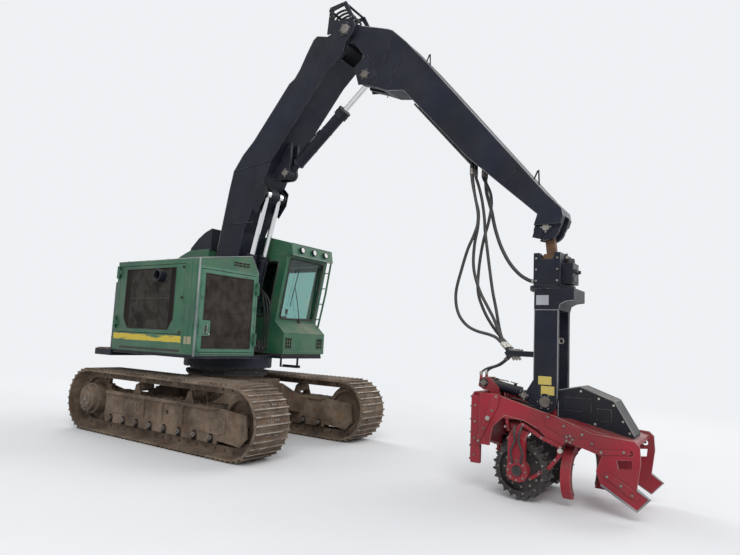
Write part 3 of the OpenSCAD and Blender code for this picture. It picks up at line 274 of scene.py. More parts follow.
def tinted_glass():
    """Tinted pane with a film of dust, which lets light fall into the cab."""
    n = finish("tinted_glass", 0.015, 0.0, IOR=1.45, Transmission_Weight=1.0)
    n.set(Base_Color=n.mix(n.ramp(n.noise(3.5, 6.0), 0.45, 0.8), (0.42, 0.63, 0.6), (0.52, 0.63, 0.57)))
    clear = n.add("ShaderNodeBsdfTransparent", {"Color": (0.7, 0.86, 0.83)})
    shadow = n.add("ShaderNodeLightPath").outputs["Is Shadow Ray"]
    both = n.add("ShaderNodeMixShader", {0: shadow, 1: n.shader.outputs[0], 2: clear.outputs[0]})
    n.fill(n.tree.nodes["Material Output"].inputs["Surface"], both.outputs[0])
    return n.material


def rubber(name, base, rough):
    n = finish(name, rough)
    film = n.place(settled_dust, 9.0, 0.35, 0.25)
    worn = n.mix(n.ramp(n.noise(25.0, 3.0), 0.4, 0.6), base, tuple(1.7 * part for part in base))
    n.set(Base_Color=n.mix(film, worn, (0.13, 0.11, 0.09)), Roughness=n.plus(n.times(film, 0.3), rough))
    n.bump(n.noise(90.0, 3.0), 0.15, 0.001)
    return n.material


def woven_cloth():
    n = finish("seat_cloth", 0.9)
    weave = n.waves("DIAGONAL", {"Scale": 90.0, "Distortion": 1.0})
    n.set(Base_Color=n.mix(weave, (0.03, 0.03, 0.033), (0.06, 0.06, 0.064)))
    n.bump(weave, 0.4, 0.002)
    return n.material


def lamp_glass(name, base):
    n = finish(name, 0.22, Base_Color=base)
    n.bump(n.waves("Y", {"Scale": 30.0}), 0.3, 0.002)
    return n.material


def dry_leaves():
    """Brown needles and bark crumbs, each clod with its own tone."""
    n = finish("leaf_litter", 0.95)
    tone = n.mix(n.ramp(n.noise(38.0, 3.0), 0.38, 0.62), (0.085, 0.048, 0.024), (0.27, 0.165, 0.07))
    n.set(Base_Color=n.mix(n.ramp(n.noise(9.0, 2.0), 0.5, 0.7), tone, (0.06, 0.04, 0.026)))
    n.bump(n.noise(120.0, 4.0), 0.5, 0.004)
    return n.material


green_paint = enamel("green_paint", (0.026, 0.12, 0.062), (0.018, 0.084, 0.046), patches=[
    ((-1.26, -1.51, 1.6), (0.56, -1.49, 1.7), YELLOW, 0.035, 9.0),
    ((0.86, -1.48, 1.42), (0.91, -0.26, 2.8), PALE_GREEN, 0.0, 5.0),
])
black_paint = enamel("black_paint", (0.01, 0.013, 0.025), (0.007, 0.008, 0.013), dusty=0.22, blotches=0.03,
                     rough=0.5, gloss=0.2)
red_paint = enamel("red_paint", (0.33, 0.012, 0.028), (0.2, 0.008, 0.018), (0.12, 0.08, 0.06), wear=0.75,
                   blotches=0.28, bare=(0.3, 0.24, 0.21))
pipe_grey = enamel("pipe_grey", (0.06, 0.062, 0.068), (0.035, 0.036, 0.04), dusty=0.3)
worn_edge = enamel("worn_edge", (0.34, 0.35, 0.35), (0.1, 0.11, 0.12), dusty=0.2)
red_worn = enamel("worn_red", (0.4, 0.085, 0.08), (0.24, 0.03, 0.032), dusty=0.2)
faded_yellow = enamel("faded_yellow", (0.6, 0.47, 0.07), (0.46, 0.37, 0.12), wear=0.3)
faded_cream = enamel("faded_cream", (0.33, 0.3, 0.17), (0.2, 0.2, 0.13), wear=0.3)
faded_grey = enamel("faded_grey", (0.38, 0.4, 0.42), (0.27, 0.28, 0.3), wear=0.3)
screen_mesh = enamel("screen_mesh", (0.034, 0.029, 0.024), (0.022, 0.019, 0.016), wear=0.2, dusty=0.2,
                     blotches=0.09, rough=0.75, gloss=0.2)
front_mesh = enamel("front_mesh", (0.062, 0.047, 0.037), (0.03, 0.024, 0.02), wear=0.2, dusty=0.2,
                    blotches=0.08, rough=0.75, gloss=0.2)
# Painted shade: a near-black finish for the dark behind screens, vent bars and grille holes, and round the
# track rollers
painted_shade = enamel("painted_shade", (0.012, 0.01, 0.009), (0.018, 0.014, 0.012), wear=0.1, dusty=0.1,
                     blotches=0.03, rough=0.8, gloss=0.1)
muddy = muddy_steel()
rusty = bare_steel("rusty_steel", (0.2, 0.105, 0.055), (0.085, 0.045, 0.028), 0.75, 0.35)
dark_steel = bare_steel("dark_steel", (0.055, 0.05, 0.048), (0.028, 0.025, 0.024), 0.6, 0.5)
bright_steel = bare_steel("bright_steel", (0.42, 0.41, 0.4), (0.25, 0.23, 0.21), 0.4, 0.9)
engine_iron = bare_steel("engine_iron", (0.16, 0.16, 0.155), (0.08, 0.08, 0.08), 0.55, 0.4)
worn_zinc = bare_steel("worn_zinc", (0.5, 0.49, 0.46), (0.28, 0.25, 0.21), 0.45, 0.7)
worn_steel = bare_steel("worn_steel", (0.27, 0.25, 0.23), (0.12, 0.1, 0.085), 0.55, 0.5)
muddy_dark = bare_steel("muddy_dark", (0.105, 0.076, 0.054), (0.055, 0.039, 0.029), 0.85, 0.0)
grouser_tip = bare_steel("grouser_tip", (0.4, 0.36, 0.31), (0.12, 0.08, 0.052), 0.5, 0.45)
chrome = rod_chrome()
glass = tinted_glass()
hose_rubber = rubber("hose_rubber", (0.014, 0.014, 0.015), 0.5)
# Black rubber for seals and other black parts, also painted shade behind the left louvres and in the latch
# pocket
rubber_and_painted_shade = rubber("rubber_and_painted_shade", (0.01, 0.01, 0.01), 0.6)
console_plastic = rubber("console_plastic", (0.04, 0.04, 0.043), 0.55)
seat_cloth = woven_cloth()
lamp_lens = lamp_glass("lamp_lens", (0.62, 0.63, 0.6))
red_lens = lamp_glass("red_lens", (0.34, 0.012, 0.01))
leaf_litter = dry_leaves()

CAD_FINISH = {
    muddy: "carbody track_frame_r track_frame_l running_gear_r running_gear_l final_drive_r final_drive_l"
           " track_r track_l",
    dark_steel: "slew_ring feed_wheel_r feed_wheel_l",
    green_paint: "right_housing engine_housing front_door cab_shell cab_roof cab_door side_door",
    black_paint: "turntable deck boom_tower boom_hump counterweight boom lift_barrels stick stick_barrel"
                 " rotator hanger tilt_barrel head_cover",
    red_paint: "head_frame saw_box feed_arm_r feed_arm_l knife_r knife_l",
    rusty: "link",
    chrome: "lift_rods stick_rod tilt_rod",
    glass: "cab_glass cab_door_glass",
    bright_steel: "roof_lamps saw_bar",
    engine_iron: "engine",
    seat_cloth: "cab_seat",
}
for material, names in CAD_FINISH.items():
    for name in names.split():
        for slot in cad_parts[name].material_slots:
            slot.material = material

# Shapes

SLOT_OF = {
    **dict.fromkeys((green_paint, faded_yellow, faded_cream), "paint_green"),
    **dict.fromkeys((black_paint, worn_edge, pipe_grey, faded_grey, screen_mesh, painted_shade, front_mesh,
                     console_plastic), "paint_black"),
    **dict.fromkeys((red_paint, red_worn), "paint_red"),
    **dict.fromkeys((muddy, muddy_dark, leaf_litter), "muddy_steel"),
    **dict.fromkeys((rubber_and_painted_shade, hose_rubber), "hose_rubber"),
    **dict.fromkeys((lamp_lens, red_lens), "lamp_lens"),
    seat_cloth: "seat_cloth",
}
BEVEL_SEGMENTS = 2
SHARP = radians(32)


def circle(centre, axis, r, count):
    """Points round a circle about an axis."""
    turn = Vector(axis).to_track_quat("Z", "Y")
    return [Vector(centre) + turn @ Vector((r * cos(2 * pi * k / count), r * sin(2 * pi * k / count), 0))
            for k in range(count)]


def rounded(points, steps):
    """A smooth route through the points, with steps between each two."""
    points = [Vector(p) for p in points]
    last = len(points) - 1
    route = []
    for i in range(last):
        a, b, c, d = points[max(i - 1, 0)], points[i], points[i + 1], points[min(i + 2, last)]
        for k in range(steps):
            t = k / steps
            route.append(b + (c - a) * t / 2 + (2 * a - 5 * b + 4 * c - d) * t * t / 2
                         + (3 * b - a - 3 * c + d) * t**3 / 2)
    return route + [points[last]]


def rectangle(u0, v0, u1, v1):
    """Four corners in a plane, from one corner and the opposite one."""
    return [(u0, v0), (u1, v0), (u1, v1), (u0, v1)]


def layer(face, way, under, over):
    """Low and high side of a thin plate that starts under a face and ends over it."""
    return sorted((face - way * under, face + way * over))


class Shape:
    """A mesh built up from boxes, rods, pipes and plates, in metres."""

    def __init__(self):
        self.bm = bmesh.new()

    def box(self, low, high, turn=None):
        middle = [(a + b) / 2 for a, b in zip(low, high)]
        size = [abs(b - a) for a, b in zip(low, high)]
        where = Matrix.Translation(middle) @ (turn or Matrix()) @ Matrix.Diagonal((*size, 1))
        bmesh.ops.create_cube(self.bm, size=1, matrix=where)
        return self

    def rod(self, a, b, r, sides=24, r2=None):
        a, b = Vector(a), Vector(b)
        where = Matrix.Translation((a + b) / 2) @ (b - a).to_track_quat("Z", "Y").to_matrix().to_4x4()
        bmesh.ops.create_cone(self.bm, cap_ends=True, segments=sides, depth=(b - a).length, matrix=where,
                              radius1=r, radius2=r if r2 is None else r2)
        return self

    def ring(self, points):
        return [self.bm.verts.new(p) for p in points]

    def skin(self, loops):
        for low, high in zip(loops, loops[1:]):
            count = len(low)
            for k in range(count):
                self.bm.faces.new((low[k], low[(k + 1) % count], high[(k + 1) % count], high[k]))

    def sleeve(self, a, b, outer, inner, sides=36):
        """A hollow cylinder from a to b."""
        a, b = Vector(a), Vector(b)
        ends = ((a, outer), (b, outer), (b, inner), (a, inner))
        loops = [self.ring(circle(centre, b - a, r, sides)) for centre, r in ends]
        self.skin(loops + loops[:1])
        return self

    def pipe(self, points, r, sides=10, closed=False):
        """A round tube along points, its frame carried on from point to point."""
        points = [Vector(p) for p in points]
        count = len(points)
        turns = [2 * pi * k / sides for k in range(sides)]
        side, loops = None, []
        for i, p in enumerate(points):
            before = points[i - 1] if i or closed else p
            after = points[(i + 1) % count] if i < count - 1 or closed else p
            step = (after - before).normalized()
            side = side or step.orthogonal().normalized()
            side = (side - step * side.dot(step)).normalized()
            up = step.cross(side)
            loops.append(self.ring(p + r * (cos(t) * side + sin(t) * up) for t in turns))
        self.skin(loops + (loops[:1] if closed else []))
        if not closed:
            self.bm.faces.new(loops[0])
            self.bm.faces.new(loops[-1])
        return self

    def hose(self, points, steps, r, sides=10):
        """A tube along the smooth route through the points."""
        return self.pipe(rounded(points, steps), r, sides)

    def slab(self, outline, axis, low, high):
        """A plate across an axis: its outline is [y, z], [x, z] or [x, y] points."""
        place = {
            "x": lambda u, v, w: (w, u, v),
            "y": lambda u, v, w: (u, w, v),
            "z": lambda u, v, w: (u, v, w),
        }[axis]
        ends = [self.ring(place(u, v, w) for u, v in outline) for w in (low, high)]
        self.skin(ends)
        for end in ends:
            self.bm.faces.new(end)
        return self

    def done(self, name, body, material, bevel=0.0):
        bmesh.ops.recalc_face_normals(self.bm, faces=self.bm.faces)
        mesh = bpy.data.meshes.new(name)
        self.bm.to_mesh(mesh)
        self.bm.free()
        return placed(name, mesh, body, material, bevel)


def placed(name, mesh, body, material, bevel=0.0):
    """Puts a mesh in the scene as a piece that rides on a body."""
    mesh.materials.clear()
    mesh.materials.append(material)
    mesh.shade_smooth()
    mesh.set_sharp_from_angle(angle=SHARP)
    piece = bpy.data.objects.new(name, mesh)
    bpy.context.scene.collection.objects.link(piece)
    if bevel:
        rounder = piece.modifiers.new("bevel", "BEVEL")
        rounder.width, rounder.segments, rounder.limit_method = bevel, BEVEL_SEGMENTS, "ANGLE"
    if body:
        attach(piece, body)
    return piece


def boxes(name, body, material, corners, bevel=0.0):
    """A piece made of plain boxes, each given by its low and high corner."""
    shape = Shape()
    for low, high in corners:
        shape.box(low, high)
    return shape.done(name, body, material, bevel)


# Things that repeat, grown by geometry nodes

def new_field(name, **inputs):
    inputs = {"Geometry": "Geometry", **inputs, "Finish": "Material"}
    return new_tree(name, "GeometryNodeTree", inputs, "Geometry", "Geometry")


def end_field(n, given, out, points, thing, turn, size=(1, 1, 1)):
    """Sets the thing on every point, turned and sized, and gives it the finish."""
    spin = n.add("FunctionNodeEulerToRotation", {"Euler": turn}).outputs[0]
    inputs = {"Points": points, "Instance": thing, "Rotation": spin, "Scale": size}
    many = n.add("GeometryNodeInstanceOnPoints", inputs).outputs[0]
    real = n.add("GeometryNodeRealizeInstances", {"Geometry": many}).outputs[0]
    n.fill(out, n.add("GeometryNodeSetMaterial", {"Geometry": real, "Material": given["Finish"]}).outputs[0])
    return n.tree


def make_studs():
    """A stud, bolt or tooth on each point, turned as the point's own rotation says."""
    n, given, out = new_field("studs", Sides=6, Foot=0.01, Tip=0.01, Height=0.01)
    cone = n.add("GeometryNodeMeshCone", {"Vertices": given["Sides"], "Radius Bottom": given["Foot"],
                                          "Radius Top": given["Tip"], "Depth": given["Height"]}).outputs[0]
    turn = n.add("GeometryNodeInputNamedAttribute", {"Name": "turn"}, data_type="FLOAT_VECTOR").outputs[0]
    return end_field(n, given, out, given["Geometry"], cone, turn)


def make_bars():
    """A row of like bars, such as the ribs of a screen or the slats of a louvre."""
    n, given, out = new_field("bars", Count=10, First=(0, 0, 0), Step=(0.1, 0, 0), Size=(0.01, 0.01, 0.1),
                              Turn=(0, 0, 0))
    inputs = {"Count": given["Count"], "Start Location": given["First"], "Offset": given["Step"]}
    line = n.add("GeometryNodeMeshLine", inputs, mode="OFFSET").outputs[0]
    bar = n.add("GeometryNodeMeshCube", {"Size": given["Size"]}).outputs[0]
    return end_field(n, given, out, line, bar, given["Turn"])


def make_clods():
    """Clods of dried mud or litter, scattered over the faces that it is given."""
    n, given, out = new_field("clods", Density=80.0, Size=0.02, Flat=0.5, Seed=3)
    inputs = {"Mesh": given["Geometry"], "Density": given["Density"], "Seed": given["Seed"]}
    spread = n.add("GeometryNodeDistributePointsOnFaces", inputs).outputs["Points"]
    ball = n.add("GeometryNodeMeshIcoSphere", {"Radius": given["Size"], "Subdivisions": 2}).outputs[0]
    drawn = []
    for low, high, seed in ((0, 0, 0), (0.6, 0.6, 6.28), 11), ((0.3, 0.3, 0.3), (1.5, 0.9, 1.0), 5):
        inputs = {0: low, 1: high, "Seed": seed}
        drawn.append(n.add("FunctionNodeRandomValue", inputs, data_type="FLOAT_VECTOR").outputs[0])
    turn, grow = drawn
    flat = n.add("ShaderNodeCombineXYZ", {"X": 1.0, "Y": 1.0, "Z": given["Flat"]}).outputs[0]
    grow = n.add("ShaderNodeVectorMath", {0: grow, 1: flat}, operation="MULTIPLY").outputs[0]
    return end_field(n, given, out, spread, ball, turn, grow)


studs_field = make_studs()
bars_field = make_bars()
clods_field = make_clods()


def grown(name, tree, body, material, base=None, **values):
    """The plain mesh that a field makes, as a piece on a body."""
    holder = bpy.data.objects.new(name + "_field", base or bpy.data.meshes.new(name + "_field"))
    bpy.context.scene.collection.objects.link(holder)
    field = holder.modifiers.new("field", "NODES")
    field.node_group = tree
    values["Finish"] = material
    for item in tree.interface.items_tree:
        if item.in_out == "INPUT" and item.name in values:
            field[item.identifier] = values[item.name]
    holder.update_tag()
    bpy.context.view_layer.update()
    mesh = finished_mesh(holder)
    bpy.data.objects.remove(holder)
    mesh.name = name
    return placed(name, mesh, body, material)


def finished_mesh(obj):
    """A new mesh with the result of an object's modifiers."""
    graph = bpy.context.evaluated_depsgraph_get()
    return bpy.data.meshes.new_from_object(obj.evaluated_get(graph))


def studs(name, body, material, spots, r, height, sides=6, tip=None):
    """Bolts, pins or teeth at spots, each a point and the way that it faces."""
    mesh = bpy.data.meshes.new(name + "_spots")
    mesh.from_pydata([tuple(p) for p, _ in spots], [], [])
    turn = mesh.attributes.new("turn", "FLOAT_VECTOR", "POINT")
    for k, (_, facing) in enumerate(spots):
        turn.data[k].vector = Vector(facing).to_track_quat("Z", "Y").to_euler()
    return grown(name, studs_field, body, material, mesh, Sides=sides, Height=height, Foot=r,
                 Tip=r if tip is None else tip)


def bars(name, body, material, count, first, step, size, turn=(0, 0, 0)):
    return grown(name, bars_field, body, material, Count=count, First=first, Step=step, Size=size, Turn=turn)


def clods(name, body, material, patches, density, size, seed, flat=0.5):
    """Mud or litter over flat patches: [low corner, high corner] at one height each."""
    mesh = bpy.data.meshes.new(name + "_patches")
    verts, faces = [], []
    for (x0, y0, z0), (x1, y1, z1) in patches:
        faces.append(tuple(range(len(verts), len(verts) + 4)))
        verts += [(x0, y0, z0), (x1, y0, z1), (x1, y1, z1), (x0, y1, z0)]
    mesh.from_pydata(verts, [], faces)
    return grown(name, clods_field, body, material, mesh, Density=density, Size=size, Flat=flat, Seed=seed)


def on_ring(centre, axis, r, count):
    """Spots for studs round a circle, facing along its axis."""
    return [(p, axis) for p in circle(centre, axis, r, count)]


SIDES = (("r", -1), ("l", 1))
BOOM_Y = 0.055

# Hoses, along the routes of the solids

HOSE_R, FAT_HOSE_R, THIN_HOSE_R = 0.021, 0.025, 0.014
CRIMP, THIN_CRIMP = 0.085, 0.045
# Where the long hoses start and end to follow the body below
# The last places of the hoses that end in the hanger's block, forward and up
BLOCK_END = [(5.156, 1.834), (5.196, 1.794), (5.236, 1.754)]
# For each hose, how far left its places are, and the places themselves, forward and up
HOSE_ROUTES = {
    "hose_loop": ([-0.07] * 20, [
        (4.69, 4.2), (4.69, 4.15), (4.692, 4.1), (4.71, 3.98), (4.755, 3.78), (4.8, 3.56), (4.796, 3.4),
        (4.745, 3.25), (4.66, 3.06), (4.57, 2.76), (4.51, 2.52), (4.51, 2.33), (4.565, 2.16), (4.68, 2.03),
        (4.82, 1.96), (4.99, 1.92), (5.09, 1.885)
    ] + BLOCK_END),
    "hose_right": ([-0.02] * 10 + [-0.018, -0.015, -0.012] + [-0.01] * 4, [
        (4.68, 4.2), (4.68, 4.15), (4.682, 4.1), (4.705, 3.94), (4.74, 3.76), (4.785, 3.58), (4.78, 3.37),
        (4.74, 3.15), (4.728, 2.89), (4.765, 2.68), (4.845, 2.47), (4.945, 2.29), (5.04, 2.12),
        (5.11, 1.95)
    ] + BLOCK_END),
    "hose_middle": ([0.055] * 10 + [0.052] + [0.05] * 5, [
        (4.7, 4.2), (4.7, 4.15), (4.703, 4.1), (4.75, 3.96), (4.8, 3.77), (4.84, 3.52), (4.855, 3.34),
        (4.885, 3.13), (4.935, 2.8), (4.985, 2.5), (5.04, 2.26), (5.08, 2.06), (5.115, 1.92)
    ] + BLOCK_END),
    "hose_left": ([0.115] * 10 + [0.113, 0.112] + [0.11] * 5, [
        (4.785, 4.2), (4.785, 4.15), (4.787, 4.1), (4.845, 3.99), (4.9, 3.86), (4.915, 3.69),
        (4.875, 3.45), (4.812, 3.22), (4.765, 2.94), (4.742, 2.64), (4.76, 2.45), (4.83, 2.27),
        (4.92, 2.11), (5.04, 1.95)
    ] + BLOCK_END),
    "hose_rotator": ([0.19] * 14, [
        (4.79, 4.2), (4.79, 4.14), (4.79, 4.08), (4.805, 3.92), (4.85, 3.76), (4.892, 3.62), (4.945, 3.39),
        (5.035, 3.13), (5.16, 2.9), (5.3, 2.74), (5.42, 2.66), (5.48, 2.64), (5.52, 2.64), (5.559, 2.64)
    ]),
}
HEAD_HOSE_ROUTE = [
    (5.243, 1.633), (5.215, 1.605), (5.187, 1.577), (5.13, 1.533), (5.07, 1.505), (5.01, 1.482),
    (4.964, 1.452), (4.943, 1.422), (4.94, 1.405), (4.94, 1.391)
]
HEAD_HOSE_ENDS = {"head_hose_r": (-0.04, -0.158), "head_hose_l": (0.03, 0.024)}


def make_hose(node, points, r, ends, crimp):
    """A rubber hose with a crimped sleeve at each end; each sleeve rides on one of the two bodies."""
    path = rounded(points, 4)
    for name, body, metal, a, b in (("_top", ends[0], worn_steel, points[0], points[1]),
                                    ("_low", ends[1], worn_zinc, points[-1], points[-2])):
        a, b = Vector(a), Vector(b)
        tip = a + (b - a).normalized() * crimp
        Shape().sleeve(a, tip, r + 0.006, r + 0.0005).done(node + name, body, metal)
    hose = Shape().pipe(path, r, 14).done(node + "_rubber", None, hose_rubber)
    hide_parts(node)
    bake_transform(hose)


def hoses():
    for node, (lefts, places) in HOSE_ROUTES.items():
        points = [(x, y, z) for y, (x, z) in zip(lefts, places)]
        fat = node == "hose_rotator"
        make_hose(node, points, FAT_HOSE_R if fat else HOSE_R,
                  ("stick", "rotator" if fat else "hanger"), CRIMP)
    for node, (near, far) in HEAD_HOSE_ENDS.items():
        points = []
        for k, (x, z) in enumerate(HEAD_HOSE_ROUTE):
            share = max(0, min(1, (k - 2) / 5))
            points.append((x, near * (1 - share) + far * share, z))
        bodies = ("hanger", "head")
        make_hose(node, points, THIN_HOSE_R, bodies, THIN_CRIMP)


hoses()

# Undercarriage

TRACK_Y = 1.235
AXLE_Z = 0.531
HALF_BASE = 1.85
PITCH_R = 0.481
LOOP = 4 * HALF_BASE + 2 * pi * PITCH_R
SHOES = 51
SHOE = LOOP / SHOES
GUARD_Y = 0.178
ROLLER_Z, ROLLER_R = 0.262, 0.058


def loop_point(s, out):
    """Place on the track's loop at length s, at a distance outside the pitch line, and the way out."""
    arc_l, run = pi * PITCH_R, 2 * HALF_BASE
    s %= LOOP
    if s < run:
        angle, x = pi / 2, s - HALF_BASE
    elif s < run + arc_l:
        angle, x = pi / 2 - (s - run) / PITCH_R, HALF_BASE
    elif s < 2 * run + arc_l:
        angle, x = -pi / 2, HALF_BASE - (s - run - arc_l)
    else:
        angle, x = -pi / 2 - (s - 2 * run - arc_l) / PITCH_R, -HALF_BASE
    facing = Vector((cos(angle), 0, sin(angle)))
    return Vector((x, 0, AXLE_Z)) + facing * (PITCH_R + out), facing


def tracks(mark, side):
    middle = Vector((0, side * TRACK_Y, 0))
    spots, pins, ends = [], [], []
    for i in range(SHOES):
        p, out = loop_point((i + 0.43) * SHOE, 0.021)
        spots += [(p + middle + Vector((0, y, 0)), out) for y in (-0.1, -0.05, 0.05, 0.1)]
        q, _ = loop_point(i * SHOE, -0.056)
        pins.append((q + middle - Vector((0, 0.1, 0)), (0, 1, 0)))
        ends += [(q + middle + Vector((0, y, 0)), (0, y, 0)) for y in (-0.107, 0.107)]
    studs("shoe_bolts_" + mark, "undercarriage", worn_steel, spots, 0.016, 0.011)
    studs("chain_bushings_" + mark, "undercarriage", muddy, pins, 0.03, 0.2, 16)
    studs("chain_pins_" + mark, "undercarriage", dark_steel, ends, 0.022, 0.007, 16, 0.017)


def grousers(mark, side):
    """Worn tips along the two ribs of each shoe, and mud packed between the ribs."""
    shape, packed = Shape(), []
    size = Vector((0.0085, 0.3375, 0.0021))
    for i in range(SHOES):
        for share in (0.175, 0.695):
            p, out = loop_point((i + share) * SHOE, 0.0491)
            p.y = side * TRACK_Y
            shape.box(p - size, p + size, Matrix.Rotation(atan2(out.x, out.z), 4, "Y"))
        (p, out), (q, _) = loop_point((i + 0.27) * SHOE, 0.018), loop_point((i + 0.6) * SHOE, 0.018)
        if out.z > -0.6:
            packed.append(((p.x, side * TRACK_Y - 0.31, p.z), (q.x, side * TRACK_Y + 0.31, q.z)))
    shape.done("grouser_tips_" + mark, "undercarriage", grouser_tip)
    clods("packed_mud_" + mark, "undercarriage", muddy, packed, 330.0, 0.02, 21, 0.7)


def track_frames(mark, side):
    """Roller caps, guard flanges, cover plates, arches of painted shade round the rollers and bolts on both
    faces of a track frame.
    """
    rollers = [-1.25 + 2.55 * i / 7 for i in range(8)]
    shape, arches, caps, bolts = Shape(), Shape(), [], []
    for face in (-1, 1):
        y = side * TRACK_Y + face * GUARD_Y
        guard = [(-1.42, 0.655), (1.36, 0.655), (1.44, 0.68), (1.44, 0.694), (-1.42, 0.71)]
        shape.slab(guard, "y", *layer(y, face, 0.004, 0.026))
        for outline in (
            [(-1.3, 0.36), (-0.52, 0.36), (-0.46, 0.4), (-0.46, 0.6), (-1.22, 0.62), (-1.3, 0.58)],
            [(0.92, 0.34), (1.46, 0.31), (1.6, 0.36), (1.6, 0.6), (0.98, 0.61)],
        ):
            shape.slab(outline, "y", *layer(y, face, 0.004, 0.012))
        low, high = layer(y, face, 0.004, 0.04)
        for x in (-0.32, 0.16, 0.66):
            shape.box((x - 0.009, low, 0.37), (x + 0.009, high, 0.66))
        low, high = layer(y, face, 0.0285, 0.0005)
        for a, b in zip([-1.42] + rollers, rollers + [1.42]):
            a += ROLLER_R if a > -1.4 else 0
            b -= ROLLER_R if b < 1.4 else 0
            shape.box((a, low, 0.186), (b, high, 0.262))
        # Arches of painted shade round each roller, under the guard
        low, high = layer(y, face, 0.004, 0.002)
        for x in rollers:
            outline = [(x - ROLLER_R, 0.2), (x + ROLLER_R, 0.2)]
            for k in range(13):
                outline.append((x + ROLLER_R * cos(pi * k / 12), ROLLER_Z + 0.062 * sin(pi * k / 12)))
            arches.slab(outline, "y", low, high)
            caps.append((Vector((x, y - face * 0.004, ROLLER_Z)), (0, face, 0)))
            bolts += on_ring((x, y + face * 0.019, ROLLER_Z), (0, face, 0), 0.026, 4)
        for x, z in ((-1.24, 0.41), (-1.24, 0.57), (-0.88, 0.41), (-0.88, 0.57), (-0.54, 0.44),
                     (-0.54, 0.56), (1.02, 0.39), (1.02, 0.55), (1.3, 0.37), (1.3, 0.56), (1.52, 0.4),
                     (1.52, 0.55)):
            bolts.append((Vector((x, y + face * 0.011, z)), (0, face, 0)))
    shape.done("frame_plates_" + mark, "undercarriage", muddy, 0.003)
    arches.done("roller_shade_arches_" + mark, "undercarriage", painted_shade)
    studs("roller_caps_" + mark, "undercarriage", muddy_dark, caps, 0.04, 0.024, 20, 0.034)
    for x, out, r, count in ((-HALF_BASE, 0.2095, 0.24, 18), (-HALF_BASE, 0.2895, 0.184, 12),
                             (HALF_BASE, 0.1075, 0.098, 8)):
        bolts += on_ring((x, side * (TRACK_Y + out), AXLE_Z), (0, side, 0), r, count)
    studs("frame_bolts_" + mark, "undercarriage", worn_steel, bolts, 0.014, 0.014)
    plug = Vector((-HALF_BASE, side * (TRACK_Y + 0.311), AXLE_Z))
    studs("drive_plugs_" + mark, "undercarriage", worn_steel,
          [(plug, (0, side, 0)), (plug + Vector((0.08, 0, -0.07)), (0, side, 0))], 0.03, 0.012, 8)


def mud():
    """Dried mud on the right frame and its legs, and along the ledges of both frames."""
    edges = ((GUARD_Y, GUARD_Y + 0.024), (-GUARD_Y - 0.024, -GUARD_Y))
    ledges = [((-1.4, side * TRACK_Y + low, 0.702), (1.4, side * TRACK_Y + high, 0.696))
              for _, side in SIDES for low, high in edges]
    heaps = [((-1.36, -TRACK_Y - 0.14, 0.692), (1.36, -TRACK_Y + 0.14, 0.692)), ledges[0],
             ((-0.84, -1.0, 0.8), (-0.46, -0.62, 0.8)), ((0.46, -1.0, 0.8), (0.84, -0.62, 0.8)), ledges[0]]
    clods("dried_mud", "undercarriage", muddy, heaps, 150.0, 0.04, 4, 0.45)
    clods("ledge_mud", "undercarriage", muddy, ledges, 900.0, 0.016, 9, 0.6)


def slewing_ring():
    """Two rows of teeth round the fixed ring, and the bolts of the turntable's flange."""
    for name, z in (("ring_teeth", 1.098), ("ring_teeth_upper", 1.122)):
        teeth = [(p, p - Vector((0, 0, p.z))) for p in circle((0, 0, z), (0, 0, 1), 0.698, 96)]
        studs(name, "undercarriage", dark_steel, teeth, 0.021, 0.024, 4, 0.013)
    bolts = [(p, (0, 0, -1)) for p in circle((0, 0, 1.2025), (0, 0, 1), 0.745, 40)]
    studs("turntable_bolts", "upper", dark_steel, bolts, 0.014, 0.016)


for make in (tracks, grousers, track_frames):
    for mark, side in SIDES:
        make(mark, side)
mud()
slewing_ring()

# Housings

BODY_Y = 1.5
HOUSE_X = (-1.27, 0.88)
HOUSE_TOP = 2.914
RIDGE = (-0.43, 3.085)
CHANNEL_Y = -0.25


def ribbed_screen(name, body, outline, axis, face, span, ribs, band, mesh):
    """A fine dark screen in its recess: a near-black sheet of painted shade, close ribs over it, a cross
    band and a seal round it.
    """
    out = -1 if axis == "y" else 1

    def place(u, w, v):
        return (u, w, v) if axis == "y" else (w, u, v)

    # The sheet is painted shade, the dark depth behind the ribs
    Shape().slab(outline, axis, *layer(face, out, 0, 0.004)).done(name + "_sheet", body, painted_shade)
    (u0, u1), (v0, v1) = span
    step = (u1 - u0) / ribs
    bars(name + "_ribs", body, mesh, ribs, place(u0 + step / 2, face + out * 0.005, (v0 + v1) / 2),
         place(step, 0, 0), place(step * 0.34, 0.005, v1 - v0))
    low, high = sorted((face + out * 0.004, face + out * 0.013))
    boxes(name + "_band", body, screen_mesh, [(place(u0, low, band[0]), place(u1, high, band[1]))])
    seal = [place(u, face + out * 0.012, v) for u, v in outline]
    Shape().pipe(seal, 0.007, 8, True).done(name + "_seal", body, rubber_and_painted_shade)


